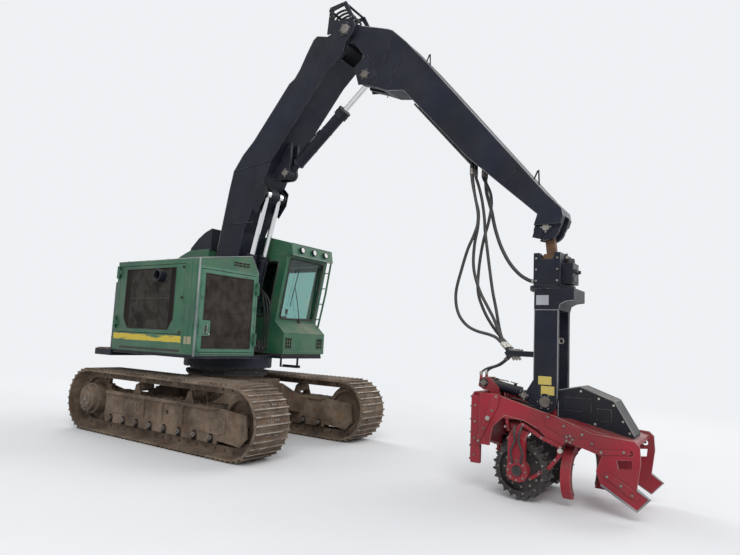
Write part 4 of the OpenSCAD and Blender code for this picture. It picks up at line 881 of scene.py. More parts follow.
def right_housing():
    side = [(-1.0, 2.78), (0.32, 2.78), (0.32, 1.96), (0.2, 1.79), (-0.87, 1.79), (-1.0, 1.96)]
    ribbed_screen("side_screen", "side_door", side, "y", -BODY_Y + 0.012, ((-0.865, 0.195), (1.8, 2.77)),
                  90, (2.275, 2.3), screen_mesh)
    front = rectangle(-1.365, 1.53, -0.36, 2.69)
    ribbed_screen("front_screen", "front_door", front, "x", 0.868, ((-1.36, -0.365), (1.535, 2.685)), 110,
                  (2.1, 2.104), front_mesh)
    duct = Vector((-0.01, -BODY_Y, 2.65))
    sleeve = Shape().sleeve(duct, duct - Vector((0, 0.1205, 0)), 0.0985, 0.0785)
    sleeve.pipe(circle(duct - Vector((0, 0.118, 0)), (0, 1, 0), 0.095, 32), 0.008, 8, True)
    sleeve.rod(duct - Vector((0, 0.008, 0)), duct - Vector((0, 0.018, 0)), 0.078)
    for k in range(-2, 3):
        z = duct.z + k * 0.026
        sleeve.box((duct.x - 0.07, -BODY_Y - 0.026, z - 0.003), (duct.x + 0.07, -BODY_Y - 0.018, z + 0.003))
    sleeve.done("intake_duct", "side_door", black_paint)
    latches = Shape()
    for z in (1.76, 2.3, 2.78):
        latches.box((0.475, -BODY_Y - 0.008, z - 0.02), (0.53, -BODY_Y + 0.002, z + 0.02))
        latches.rod((0.5, -BODY_Y - 0.004, z), (0.5, -BODY_Y - 0.018, z), 0.011, 12)
    latches.done("side_latches", "side_door", dark_steel, 0.002)
    # Latch pocket of the front door: its depth is painted shade, two near-black boxes
    boxes("latch_slot", "front_door", rubber_and_painted_shade, [
        ((0.8915, -1.335, 1.775), (0.8945, -1.295, 1.885)),
        ((0.8915, -1.275, 1.8), (0.894, -1.262, 1.86)),
    ])
    edge = [(0.893, y, z) for y, z in rectangle(-1.345, 1.765, -1.285, 1.895)]
    bezel = Shape().pipe(edge, 0.004, 8, True).rod((0.892, -1.25, 1.75), (0.902, -1.25, 1.75), 0.012, 12)
    bezel.done("latch_bezel", "front_door", worn_zinc)
    # Worn edge strips, the corner post and the seams beside it
    strips = Shape()
    strips.box((0.866, -BODY_Y - 0.004, 1.4), (0.884, -BODY_Y + 0.014, HOUSE_TOP))
    roof = [(0.882, -BODY_Y, HOUSE_TOP), (0.882, *RIDGE), (0.882, CHANNEL_Y, 2.79)]
    strips.pipe(roof, 0.007, 8).pipe([(x - 2.152, y, z) for x, y, z in roof], 0.007, 8)
    for y, z in ((-BODY_Y, HOUSE_TOP), RIDGE):
        strips.pipe([(x, y, z) for x in HOUSE_X], 0.006, 8)
    strips.done("edge_strips", "upper", worn_edge)
    seams = Shape()
    for x in (0.585, 0.7, 0.815):
        seams.box((x - 0.006, -BODY_Y - 0.005, 1.5), (x + 0.006, -BODY_Y + 0.001, 2.88))
    seams.slab(rectangle(-1.24, -1.47, 0.85, -1.44), "z", 2.919, 2.927)
    seams.done("housing_seams", "upper", green_paint, 0.0015)
    boxes("sill_slots", "upper", rubber_and_painted_shade, [
        ((-1.06, -BODY_Y - 0.003, 1.455), (0.54, -BODY_Y + 0.002, 1.49)),
        ((-1.25, -BODY_Y - 0.003, 1.418), (0.86, -BODY_Y + 0.002, 1.428)),
        ((0.878, -1.45, 1.43), (0.883, -0.29, 1.438)),
    ])
    boxes("bare_plate_side", "upper", faded_cream,
          [((0.63, -BODY_Y - 0.003, 1.585), (0.8, -BODY_Y + 0.001, 1.7))])
    # Vent high on the front: a box of painted shade behind green bars
    boxes("front_vent", "upper", painted_shade, [((0.878, -0.815, 2.872), (0.883, -0.475, 2.948))])
    bars("front_vent_bars", "upper", green_paint, 5, (0.884, -0.815, 2.91), (0, 0.085, 0),
         (0.006, 0.01, 0.08))
    boxes("front_vent_frame", "upper", green_paint,
          [((0.881, -0.82, z - 0.005), (0.887, -0.47, z + 0.005)) for z in (2.87, 2.91, 2.95)])
    bolts = [((x, y, 2.916 + (y + BODY_Y) * 0.16), (0, -0.16, 1))
             for x in (-1.15, -0.6, -0.05, 0.5) for y in (-1.4, -0.55)]
    studs("roof_bolts", "upper", dark_steel, bolts, 0.016, 0.012)


def rear_housing():
    """Louvres, seams and handles on the rear housing, and the trim of the counterweight."""
    left = BODY_Y - 0.01
    outline = [(x, left + 0.002, z) for x, z in rectangle(-1.64, 1.62, -0.98, 2.86)]
    Shape().pipe(outline, 0.007, 8, True).done("left_panel_seal", "upper", rubber_and_painted_shade)
    bars("left_louvres", "upper", green_paint, 16, (-1.31, left + 0.006, 1.78), (0, 0, 0.062),
         (0.5, 0.014, 0.04), (0.6, 0, 0))
    # A near-black box behind the slats: painted shade in the gaps between them
    boxes("left_louvre_shade", "upper", rubber_and_painted_shade,
          [((-1.57, left - 0.001, 1.74), (-1.05, left + 0.002, 2.75))])
    handle = [(-1.02, left + out, z) for out, z in ((0, 2.2), (0.04, 2.21), (0.04, 2.33), (0, 2.34))]
    Shape().hose(handle, 4, 0.008, 8).done("left_panel_handle", "upper", dark_steel)
    for mark, y, width in (("l", 0.95, 0.8), ("r", 0.1, 0.5)):
        bars("rear_louvres_" + mark, "upper", green_paint, 5, (-1.704, y, 2.68), (0, 0, 0.062),
             (0.014, width, 0.04), (0, -0.6, 0))
    # Counterweight: lifting eyes, seams, rear lamps and the bumper's litter
    eyes, seams = Shape(), Shape()
    for y in (-0.75, 0.75):
        eyes.hose([(-1.92, y + dy, z) for dy, z in (
            (0, 2.58), (0, 2.66), (0.06, 2.71), (0.12, 2.66), (0.12, 2.58))], 5, 0.018, 12)
    eyes.done("lifting_eyes", "upper", black_paint)
    for z in (1.62, 2.38):
        seams.pipe([(x, y, z) for x, y in ((-1.64, -1.303), (-1.962, -1.003), (-2.163, -0.56), (-2.223, 0),
                                           (-2.163, 0.56), (-1.993, 1.003))], 0.006, 6)
    seams.done("counterweight_seams", "upper", rubber_and_painted_shade)
    boxes("rear_lamps", "upper", red_lens,
          [((-2.075, y - 0.07, 1.86), (-2.015, y + 0.07, 1.93)) for y in (-0.86, 0.86)], 0.006)
    clods("bumper_litter", "upper", leaf_litter,
          [((-1.75, -1.4, 1.419), (-1.4, -1.47, 1.419)), ((-2.1, -1.12, 1.419), (-1.82, -1.3, 1.419)),
           ((-2.28, -0.5, 1.419), (-2.22, 0.5, 1.419))], 1500.0, 0.014, 6, 0.35)
    clods("deck_litter", "upper", leaf_litter, [((-0.4, -0.24, 1.479), (0.32, 0.34, 1.479))],
          260.0, 0.016, 2, 0.3)


right_housing()
rear_housing()

# Cab

CAB_IN, CAB_OUT = 0.362, 1.5
CAB_FLOOR = 1.516
SILL, BROW = (0.736, 2.03), (0.949, 3.22)
LAMP_LEAN = radians(10.4)


def screen_x(z):
    """Front face of the cab's sloping front at a height."""
    return SILL[0] + (z - SILL[1]) * (BROW[0] - SILL[0]) / (BROW[1] - SILL[1])


def corner(points, cut=0.05):
    """The outline with its corners cut, for a seal that turns them in two steps."""
    out = []
    for a, b, c in zip(points[-1:] + points[:-1], points, points[1:] + points[:1]):
        a, b, c = Vector(a), Vector(b), Vector(c)
        back, on = (a - b).normalized() * cut, (c - b).normalized() * cut
        out += [b + back, b + back * 0.3 + on * 0.3, b + on]
    return out


def window_seals():
    front = [(screen_x(z) + 0.004, y, z) for y, z in rectangle(0.462, 2.09, 1.4, 3.17)]
    inner = [(x, CAB_IN - 0.002, z) for x, z in ((-0.24, 2.12), (0.56, 2.12), (0.745, 3.12), (-0.24, 3.12))]
    rear = [(-0.883, y, z) for y, z in rectangle(0.482, 2.15, 1.38, 3.1)]
    door = [(x, CAB_OUT + 0.002, z) for x, z in ((-0.22, 2.12), (0.53, 2.12), (0.715, 3.07), (-0.22, 3.07))]
    for name, body, loop, r in (
        ("front_seal", "upper", front, 0.016), ("inner_side_seal", "upper", inner, 0.013),
        ("rear_seal", "upper", rear, 0.013), ("door_seal", "cab_door", door, 0.013),
    ):
        Shape().pipe(corner(loop), r, 8, True).done(name, body, rubber_and_painted_shade)


def cab_front():
    """Guard bar, wiper, grilles, creases and work lamps."""
    guard = Shape().pipe([(1.07, 1.468, 3.225), (0.965, 1.478, 2.62), (0.815, 1.482, 1.97)], 0.019, 14)
    for z in (3.02, 2.72, 2.42, 2.12):
        x = 0.815 + (1.07 - 0.815) * (z - 1.97) / 1.255
        guard.pipe([(x, 1.476, z), (screen_x(z) - 0.01, 1.47, z)], 0.01, 10)
    guard.done("front_guard_bar", "upper", green_paint)
    rails = Shape()
    for z in (2.42, 2.74):
        rails.pipe([(-0.22, CAB_IN + 0.045, z), (0.6 + (z - 2.42) * 0.18, CAB_IN + 0.045, z)], 0.01, 10)
    rails.done("inside_grab_bars", "upper", black_paint)
    foot = Vector((screen_x(2.04) + 0.03, 0.98, 2.045))
    tip = Vector((screen_x(2.66) + 0.024, 0.7, 2.66))
    wiper = Shape().rod(foot - Vector((0.04, 0, 0)), foot + Vector((0.012, 0, 0)), 0.022, 16)
    wiper.pipe([foot, foot.lerp(tip, 0.5) + Vector((0.012, 0, 0)), tip], 0.007, 8)
    wiper.pipe([(screen_x(2.32) + 0.016, 0.66, 2.32), (screen_x(3.0) + 0.016, 0.72, 3.0)], 0.008, 6)
    wiper.done("wiper", "upper", rubber_and_painted_shade)
    # Hole grids in the lower front panel, on both sides of the bare middle: each hole is a box of painted
    # shade under green bars
    holes, cross = [], []
    for y in (0.405, 1.265):
        holes.append(((0.968, y, 1.555), (0.9725, y + 0.17, 1.745)))
        for k in range(4):
            cross += [((0.971, y - 0.004 + k * 0.0567, 1.55), (0.975, y + 0.004 + k * 0.0567, 1.75)),
                      ((0.971, y - 0.004, 1.551 + k * 0.0633), (0.975, y + 0.174, 1.559 + k * 0.0633))]
    boxes("front_grilles", "upper", painted_shade, holes)
    boxes("front_grille_bars", "upper", green_paint, cross)
    creases, trim = Shape(), Shape()
    for shape, x, y0, y1, z, r, sides in (
        (creases, 0.971, 0.37, 1.49, 1.5, 0.004, 6), (creases, 0.972, 0.365, 1.495, 1.829, 0.005, 6),
        (creases, 0.738, 0.365, 1.495, 2.03, 0.005, 6), (trim, 1.077, 0.37, 1.517, 3.224, 0.006, 8),
        (trim, 1.037, 0.37, 1.517, 3.441, 0.007, 8),
    ):
        shape.pipe([(x, y0, z), (x, y1, z)], r, sides)
    creases.done("front_creases", "upper", green_paint)
    # Work lamps: rims and lenses
    up, out = Vector((-sin(LAMP_LEAN), 0, cos(LAMP_LEAN))), Vector((cos(LAMP_LEAN), 0, sin(LAMP_LEAN)))
    rims, lenses = Shape(), Shape()
    for y in (0.61, 0.945, 1.28):
        face = Vector((1.075, y, 3.222)) + up * 0.113 + out * 0.0363
        rims.sleeve(face - out * 0.03, face + out * 0.008, 0.06, 0.05, 32)
        lenses.rod(face, face + out * 0.003, 0.05, 32, 0.046)
    rims.done("lamp_rims", "upper", black_paint)
    lenses.done("lamp_lenses", "upper", lamp_lens)
    trim.done("visor_edges", "upper", worn_edge)


def cab_side():
    """Door handle, hand rail, step and the skirt under the cab."""
    handle = Shape().box((0.4, CAB_OUT + 0.001, 1.93), (0.5, CAB_OUT + 0.012, 2.02))
    handle.hose([(x, CAB_OUT + out, z) for x, out, z in (
        (0.47, 0.01, 1.985), (0.47, 0.042, 1.98), (0.41, 0.045, 1.97), (0.37, 0.04, 1.965))], 4, 0.008, 8)
    handle.done("door_handle", "cab_door", dark_steel)
    rail = [(-0.5, CAB_OUT + out, z) for out, z in (
        (0, 1.7), (0.05, 1.73), (0.055, 2.2), (0.05, 2.67), (0, 2.7))]
    Shape().hose(rail, 5, 0.014, 12).done("hand_rail", "upper", black_paint)
    boxes("cab_step", "upper", black_paint, [
        *(((x - 0.012, 1.46, 1.16), (x + 0.012, 1.5, 1.4)) for x in (-0.1, 0.34)),
        ((-0.112, 1.46, 1.15), (0.352, 1.56, 1.165)), ((-0.112, 1.545, 1.15), (0.352, 1.56, 1.2)),
    ], 0.002)
    boxes("cab_mount_skirt", "upper", rubber_and_painted_shade,
          [((-0.87, 0.365, 1.418), (0.93, 0.372, 1.454)), ((0.905, 0.372, 1.418), (0.93, 1.47, 1.454))])


PRESSURE, CLOTH_FRAMES = 4, 20


def soft_pad(name, low, high, turn, pivot, cap):
    """A stuffed pad: a slightly smaller box, swollen as cloth, its movement held to a cap."""
    shape = Shape().box(low, high)
    bmesh.ops.rotate(shape.bm, verts=shape.bm.verts, cent=pivot, matrix=Matrix.Rotation(turn, 3, "Y"))
    pad = shape.done(name, "upper", seat_cloth)
    remesh = pad.modifiers.new("remesh", "REMESH")
    remesh.mode, remesh.voxel_size = "VOXEL", 0.012
    pad.modifiers.new("smooth", "SMOOTH").iterations = 6
    bake(pad)
    start = [v.co.copy() for v in pad.data.vertices]
    cloth = pad.modifiers.new("cloth", "CLOTH")
    cloth.settings.use_pressure = True
    cloth.settings.uniform_pressure_force = PRESSURE
    cloth.settings.effector_weights.gravity = 0
    cloth.point_cache.frame_end = CLOTH_FRAMES
    for step in range(1, CLOTH_FRAMES + 1):
        bpy.context.scene.frame_set(step)
    bake(pad)
    for v, at in zip(pad.data.vertices, start):
        move = v.co - at
        if move.length > cap:
            v.co = at + move.normalized() * cap
    bpy.context.scene.frame_set(1)
    pad.data.shade_smooth()
    subdivide = pad.modifiers.new("subdivide", "SUBSURF")
    subdivide.levels = subdivide.render_levels = 1
    return pad


def bake(obj):
    """Puts the result of an object's modifiers into its mesh."""
    mesh = finished_mesh(obj)
    obj.modifiers.clear()
    obj.data = mesh


def cab_inside():
    """Seat with its pads, consoles with levers, a screen, pedals and a mat."""
    lean = radians(-6.5)
    pads = [
        soft_pad("seat_pad", (-0.365, 0.695, 1.915), (0.15, 1.165, 2.02), 0.0, (0, 0, 0), 0.016),
        soft_pad("back_pad", (-0.405, 0.71, 2.045), (-0.3, 1.15, 2.56), lean, (-0.35, 0.93, 2.03), 0.016),
        soft_pad("head_pad", (-0.45, 0.8, 2.6), (-0.375, 1.06, 2.735), lean, (-0.41, 0.93, 2.6), 0.012),
    ]
    base = Shape().box((-0.3, 0.76, CAB_FLOOR), (0.1, 1.1, 1.895))
    base.box((-0.345, 0.7, 1.88), (0.13, 1.16, 1.925))
    base.slab([(-0.42, 1.97), (-0.385, 1.97), (-0.465, 2.74), (-0.485, 2.74)], "y", 0.72, 1.14)
    for y in (0.545, 1.205):
        base.box((-0.295, y, CAB_FLOOR), (0.195, y + 0.11, 2.1))
        base.box((-0.295, y - 0.003, 2.1), (0.1, y + 0.113, 2.165))
    base.done("seat_frame", "upper", console_plastic, 0.006)
    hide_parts("cab_seat")
    sticks = Shape()
    for y in (0.6, 1.26):
        sticks.hose([(0.15, y, 2.09), (0.155, y, 2.16), (0.165, y, 2.22)], 3, 0.012, 10)
        sticks.rod((0.163, y, 2.21), (0.172, y, 2.31), 0.024, 16, 0.03)
    sticks.rod((0.4, 0.5, 1.52), (0.4, 0.5, 2.25), 0.014, 12)
    sticks.box((0.365, 0.475, 2.22), (0.395, 0.66, 2.37))
    sticks.done("levers_and_screen", "upper", rubber_and_painted_shade, 0.004)
    pedals = Shape()
    for y in (0.8, 1.02):
        pedals.box((0.665, y - 0.05, 1.6), (0.7, y + 0.05, 1.72), Matrix.Rotation(radians(25), 4, "Y"))
        pedals.pipe([(0.68, y, 1.64), (0.76, y, 1.52)], 0.01, 8)
    pedals.done("pedals", "upper", dark_steel, 0.002)
    boxes("floor_mat", "upper", rubber_and_painted_shade, [((-0.8, 0.43, 1.5155), (0.9, 1.43, 1.522))])


window_seals()
cab_front()
cab_side()
cab_inside()

# Boom and stick

TOWER_FACE = 0.274
STICK_RISE = Vector((-0.665, 0, 0.747))
LIFT_ENDS = (0.12, 1.64), (0.8, 4.25)
STICK_CYLINDER_ENDS = (1.16, 4.6), (2.84, 5.97)


def pin_ends(name, body, spots, r, bolts=6, height=0.02):
    """End caps of pivot pins: a collar plate, a domed cap and a ring of bolts at each spot."""
    spots = [(Vector(centre), Vector(facing)) for centre, facing in spots]
    collars = [(centre - facing * 0.004, facing) for centre, facing in spots]
    caps = [(centre + facing * 0.006, facing) for centre, facing in spots]
    screws = [(p + facing * 0.007, facing) for centre, facing in spots
              for p in circle(centre, facing, r * 1.22, bolts)]
    studs(name + "_collars", body, black_paint, collars, r * 1.45, 0.014, 32, r * 1.4)
    studs(name + "_caps", body, worn_steel, caps, r, height, 32, r * 0.88)
    studs(name + "_screws", body, worn_steel, screws, 0.011, 0.012)


def both_faces(x, z, out):
    return [((x, BOOM_Y + s * out, z), (0, s, 0)) for s in (-1, 1)]


def boom_details():
    for name, body, x, z, out, r, bolts in (
        ("stick_pin", "boom", 2.45, 6.8, 0.278, 0.085, 6),
        ("foot_pin", "upper", -0.22, 2.3, TOWER_FACE, 0.09, 6),
        ("lift_foot_pin", "upper", *LIFT_ENDS[0], TOWER_FACE, 0.064, 6),
        ("lift_head_pin", "boom", *LIFT_ENDS[1], 0.235, 0.056, 4),
        ("stick_cylinder_foot_pin", "boom", *STICK_CYLINDER_ENDS[0], 0.108, 0.06, 4),
        ("stick_cylinder_head_pin", "stick", *STICK_CYLINDER_ENDS[1], 0.2, 0.066, 6),
        ("link_pin", "stick", 5.74, 3.29, 0.15, 0.05, 4),
    ):
        pin_ends(name, body, both_faces(x, z, out), r, bolts)
    welds = Shape()
    # Weld beads, and doubler plates round the fork and the rods' lugs
    beads = ((0.034, 4.732), (0.975, 4.802)), ((1.283, 6.129), (1.58, 5.525)), ((-0.17, 3.74), (0.6, 3.74))
    doubler = [(0.6, 3.98), (0.69, 3.9), (0.86, 4.12), (0.9, 4.34), (0.8, 4.44), (0.62, 4.36)]
    for s in (-1, 1):
        for bead in beads:
            welds.pipe([(x, BOOM_Y + s * 0.279, z) for x, z in bead], 0.009, 6)
        welds.slab(doubler, "y", *sorted((BOOM_Y + s * 0.277, BOOM_Y + s * 0.288)))
    welds.done("boom_welds", "boom", black_paint, 0.002)
    # Worn light edges along the back of the boom
    edges = Shape()
    back = [(-0.263, 3.286), (-0.174, 3.742), (-0.045, 4.405), (0.034, 4.732), (0.242, 5.0), (0.5, 5.228),
            (1.283, 6.129)]
    for s in (-1, 1):
        edges.pipe([(x, BOOM_Y + s * 0.274, z) for x, z in back], 0.006, 6)
    edges.done("boom_edge_wear", "boom", worn_edge)
    # Pipes with clamps on the left face
    route = [(0.14, 3.05), (0.2, 3.6), (0.3, 4.3), (0.42, 4.68), (0.68, 4.93), (1.02, 5.16), (1.5, 5.7),
             (1.95, 6.1)]
    pipes, clamps = Shape(), Shape()
    for k in range(3):
        shift = Vector((-0.055 * k, 0, 0.03 * k))
        pipes.hose([Vector((x, BOOM_Y + 0.288, z)) + shift for x, z in route], 4, 0.011, 12)
    for x, z, turn in ((0.2, 3.66, -80), (0.25, 4.2, -78), (1.02, 5.2, -40), (1.46, 5.7, -48)):
        clamps.box((x - 0.13, BOOM_Y + 0.272, z - 0.03), (x + 0.05, BOOM_Y + 0.301, z + 0.055),
                   Matrix.Rotation(radians(turn + 90) * 0.25, 4, "Y"))
    pipes.done("boom_pipes", "boom", pipe_grey)
    clamps.done("boom_pipe_clamps", "boom", black_paint, 0.004)
    # Short bridging hoses over the stick's pivot
    loops = Shape()
    for k, y in enumerate((-0.1, -0.03, 0.04, 0.11, 0.18)):
        high = 7.235 - 0.012 * k
        loops.hose([(2.06, y, 7.02), (2.12, y, high - 0.05), (2.28, y, high), (2.42, y, high - 0.04),
                    (2.47, y, 7.08)], 5, 0.019)
    loops.done("pivot_hoses", "boom", hose_rubber)
    studs("hose_guard_bolts", "boom", worn_steel,
          [((2.45 + x, BOOM_Y + s * 0.292, 6.8 + z), (0, s, 0)) for s in (-1, 1)
           for x, z in ((-0.32, 0.3), (-0.31, 0.45), (-0.04, 0.465), (0.13, 0.17))], 0.014, 0.012)


def stick_details():
    top = [(2.75, 6.81), (3.24, 6.62), (3.33, 6.57), (3.59, 6.31), (4.0, 5.84), (5.65, 3.83), (5.77, 3.69)]
    under = [(5.64, 3.46), (4.65, 4.35), (3.57, 5.55), (3.28, 5.61)]
    lug = [(2.62, 6.13), (2.72, 5.82), (2.9, 5.79), (3.04, 5.92), (3.02, 6.1), (2.86, 6.3)]
    edges, plates, shade = Shape(), Shape(), Shape()
    for s in (-1, 1):
        for line, r in ((top, 0.006), (under, 0.004)):
            edges.pipe([(x, BOOM_Y + s * 0.197, z) for x, z in line], r, 6)
        plates.slab(lug, "y", *sorted((BOOM_Y + s * 0.198, BOOM_Y + s * 0.208)))
        for bead, r in ((((3.36, 6.53), (3.02, 5.7)), 0.008), (((3.62, 6.26), (3.3, 5.66)), 0.006),
                        (((5.4, 4.12), (5.19, 3.89)), 0.007)):
            plates.pipe([(x, BOOM_Y + s * 0.201, z) for x, z in bead], r, 6)
        y = BOOM_Y + s * 0.152
        shade.box((5.6, min(y, y + s * 0.012), 3.15), (5.71, max(y, y + s * 0.012), 3.42),
                  Matrix.Rotation(radians(15), 4, "Y"))
    edges.done("stick_edge_wear", "stick", worn_edge)
    plates.done("stick_doublers", "stick", black_paint, 0.002)
    # Pipes along the underside that end at the hoses
    lines, blocks = Shape(), Shape()
    for y, x in ((-0.07, 4.69), (-0.02, 4.68), (0.055, 4.7), (0.115, 4.785), (0.19, 4.79)):
        start = Vector((x, y, 4.215))
        bend = start + Vector((-0.062, 0, 0.105))
        lines.hose([start, start + Vector((-0.01, 0, 0.055)), bend, bend + STICK_RISE * 0.75,
                    bend + STICK_RISE * 1.35], 4, 0.014)
    half = Vector((0.045, 0.155, 0.022))
    for t in (0.35, 1.05):
        middle = Vector((4.66, BOOM_Y, 4.315)) + STICK_RISE * t
        blocks.box(middle - half, middle + half, Matrix.Rotation(radians(48), 4, "Y"))
    lines.done("stick_pipes", "stick", pipe_grey)
    blocks.done("stick_pipe_clamps", "stick", black_paint, 0.004)
    shade.done("tip_doublers", "stick", black_paint, 0.003)


def cylinder_details():
    """Gland nuts, weld rings, ports and pipes of the cylinders."""
    def along(ends, y, t):
        a, b = (Vector((x, y, z)) for x, z in ends)
        return a + (b - a).normalized() * t

    glands, pipes = Shape(), Shape()
    out = Vector((0.094, 0, -0.024))
    for s in (-1, 1):
        y = BOOM_Y + s * 0.15
        for t0, t1, r in ((0.1, 0.125, 0.088), (1.49, 1.52, 0.099), (1.565, 1.598, 0.099)):
            glands.rod(along(LIFT_ENDS, y, t0), along(LIFT_ENDS, y, t1), r, 32)
        pipes.hose([along(LIFT_ENDS, y, t) + out * far for t, far in (
            (0.22, 0.8), (0.24, 1.12), (0.34, 1.12), (1.4, 1.12), (1.47, 0.95))], 4, 0.011)
    glands.done("lift_glands", "lift_barrels", black_paint, 0.003)
    pipes.done("lift_pipes", "lift_barrels", black_paint)
    barrel, line = Shape(), Shape()
    ends = STICK_CYLINDER_ENDS
    for t0, t1, r in ((0.25, 0.275, 0.102), (1.36, 1.375, 0.118), (1.4, 1.42, 0.118), (1.47, 1.498, 0.118)):
        barrel.rod(along(ends, BOOM_Y, t0), along(ends, BOOM_Y, t1), r, 36)
    over = Vector((-0.07, 0, 0.086))
    for side, t0, t1 in ((-0.03, 0.9, 0.95), (0.03, 1.22, 1.28)):
        line.hose([along(ends, BOOM_Y, t) + over * far + Vector((0, side, 0)) for t, far in (
            (0.32, 0.75), (0.34, 1.05), (0.44, 1.05), (t0, 1.05), (t1, 0.8))], 4, 0.011)
    way = along(ends, BOOM_Y, 1) - along(ends, BOOM_Y, 0)
    for t in (0.62, 1.02):
        p = along(ends, BOOM_Y, t)
        barrel.rod(p, p + way * 0.035, 0.1, 36)
    barrel.done("stick_cylinder_rings", "stick_barrel", black_paint, 0.002)
    line.done("stick_cylinder_pipes", "stick_barrel", black_paint)


def foot_clutter():
    """Hoses and valves between the housing and the cab at the boom's foot."""
    lines, valves = Shape(), Shape()
    for k, (x0, z0, x1, z1) in enumerate(((0.36, 1.56, 0.17, 3.02), (0.42, 1.54, 0.115, 3.04),
                                          (0.48, 1.55, 0.06, 3.05))):
        lines.hose([(x, 0.345, z) for x, z in (
            (x0 + 0.12, z0 - 0.02), (x0 + 0.1, z0 + 0.25), (x0 + 0.14, 2.05 + 0.04 * k), (x0 + 0.06, 2.45),
            (x1 + 0.09, 2.8), (x1, z1))], 5, 0.012, 12)
    for k, y in enumerate((-0.215, -0.209, -0.222)):
        lines.hose([(x, y, z) for x, z in (
            (0.5 + 0.05 * k, 1.52), (0.52 + 0.04 * k, 1.8 + 0.05 * k), (0.38, 1.98 + 0.05 * k),
            (0.18, 1.86 + 0.06 * k), (0.08 - 0.04 * k, 1.52))], 6, 0.018, 12)
    for low, high in (((0.36, -0.1, 1.478), (0.66, 0.22, 1.6)), ((0.4, -0.06, 1.6), (0.62, 0.02, 1.7)),
                      ((0.4, 0.08, 1.6), (0.62, 0.18, 1.68))):
        valves.box(low, high)
    for y in (-0.04, 0.04, 0.13):
        valves.rod((0.62, y, 1.54), (0.705, y, 1.54), 0.027, 16)
        valves.rod((0.46, y, 1.6), (0.46, y, 1.76), 0.02, 12)
    lines.done("foot_hoses", "upper", hose_rubber)
    valves.done("foot_valves", "upper", dark_steel, 0.005)
    studs("tower_bolts", "upper", worn_steel,
          [((x, BOOM_Y + s * 0.276, z), (0, s, 0)) for s in (-1, 1)
           for x, z in ((0.28, 1.54), (-0.02, 1.53), (-0.38, 1.54), (-0.3, 2.05), (0.22, 2.05))],
          0.018, 0.014)


boom_details()
stick_details()
cylinder_details()
foot_clutter()

# Rotator and hanger

LINK_X, CROSS_Z = 5.785, 2.9
HANGER_HALF = 0.255
FLANGE_Z, FLANGE_BOLTS_R = 2.501, 0.252


def hanger_details():
    pin_ends("cross_pin", "rotator", [((LINK_X + s * 0.166, BOOM_Y, CROSS_Z), (s, 0, 0)) for s in (-1, 1)],
             0.046, 4, 0.014)
    pin_ends("tilt_pin", "hanger", both_faces(LINK_X, 1.13, HANGER_HALF), 0.07)
    ring = circle((LINK_X, BOOM_Y, FLANGE_Z), (0, 0, 1), FLANGE_BOLTS_R, 20)
    nuts = [(p, (0, 0, -1)) for p in ring if p.x < LINK_X - 0.165]
    studs("flange_nuts", "hanger", worn_steel, nuts, 0.016, 0.016)
    motor = Shape().rod((LINK_X + 0.215, BOOM_Y, 2.825), (LINK_X + 0.215, BOOM_Y, 2.895), 0.062, 24, 0.052)
    for y in (-0.075, 0.075):
        motor.rod((LINK_X + 0.283, BOOM_Y + y, 2.73), (LINK_X + 0.325, BOOM_Y + y, 2.73), 0.024, 16)
    motor.box((LINK_X + 0.28, BOOM_Y - 0.11, 2.6), (LINK_X + 0.292, BOOM_Y + 0.11, 2.66))
    motor.done("rotator_motor_trim", "rotator", dark_steel, 0.003)
    studs("rotator_bolts", "rotator", worn_steel,
          [((LINK_X + dx, BOOM_Y + s * 0.2505, z), (0, s, 0)) for s in (-1, 1)
           for dx in (-0.13, 0.13) for z in (2.6, 2.74, 2.88)], 0.014, 0.012)
    near, deep = BOOM_Y - HANGER_HALF + 0.001, BOOM_Y - HANGER_HALF - 0.003
    boxes("bare_plate_grey", "hanger", faded_grey, [((5.662, deep, 2.3), (5.815, near, 2.42))])
    boxes("bare_plates_yellow", "hanger", faded_yellow,
          [((5.7, deep, 1.335), (5.86, near, 1.435)), ((5.735, deep, 1.215), (5.895, near, 1.32))])
    edges = Shape()
    for s in (-1, 1):
        for line, r in (
            (((5.641, 2.24), (5.641, 1.4)), 0.005), (((5.929, 2.24), (5.929, 1.18)), 0.006),
            (((5.635, 2.24), (5.935, 2.24), (5.95, 2.31), (6.015, 2.345), (6.113, 2.36)), 0.005),
        ):
            edges.pipe([(x, BOOM_Y + s * 0.254, z) for x, z in line], r, 6)
    edges.done("hanger_edge_wear", "hanger", worn_edge)
    clip = Shape().pipe(circle((5.962, BOOM_Y - 0.225, 1.867), (0, 1, 0.2), 0.03, 20), 0.007, 8, True)
    clip.box((5.926, BOOM_Y - 0.245, 1.835), (5.94, BOOM_Y - 0.205, 1.9))
    clip.done("ring_clip", "hanger", worn_steel)
    plugs, block = Shape(), Vector((5.3, BOOM_Y, 1.69))
    for places, a, b, r in (((-0.17, 0.17), (0.035, 0.035), (0.052, 0.052), 0.016),
                            ((-0.115, 0.0, 0.115), (0.02, -0.05), (0.045, -0.085), 0.019)):
        for y in places:
            plugs.rod(*(block + Vector((x, y, z)) for x, z in (a, b)), r, 6)
    plugs.done("manifold_plugs", "hanger", worn_zinc)


hanger_details()

# Harvesting head

TILT = Vector((LINK_X, BOOM_Y, 1.13))
HEAD_HALF = 0.5
SADDLE_Z = -0.167
FEED_WHEEL = (-0.19, -0.77)
SPIKE_ROWS, SPIKES = 4, 22
KNIFE_PIVOT, KNIFE_CENTRE_Z, KNIFE_OPEN = (0.255, -0.435), -0.69, radians(40)


def on_head(x, y, z):
    """A place given in metres forward, left and up from the tilt pin."""
    return TILT + Vector((x, y, z))


def head_row(y, points):
    """Places at one distance to the left of the tilt pin, given as forward and up."""
    return [on_head(x, y, z) for x, z in points]


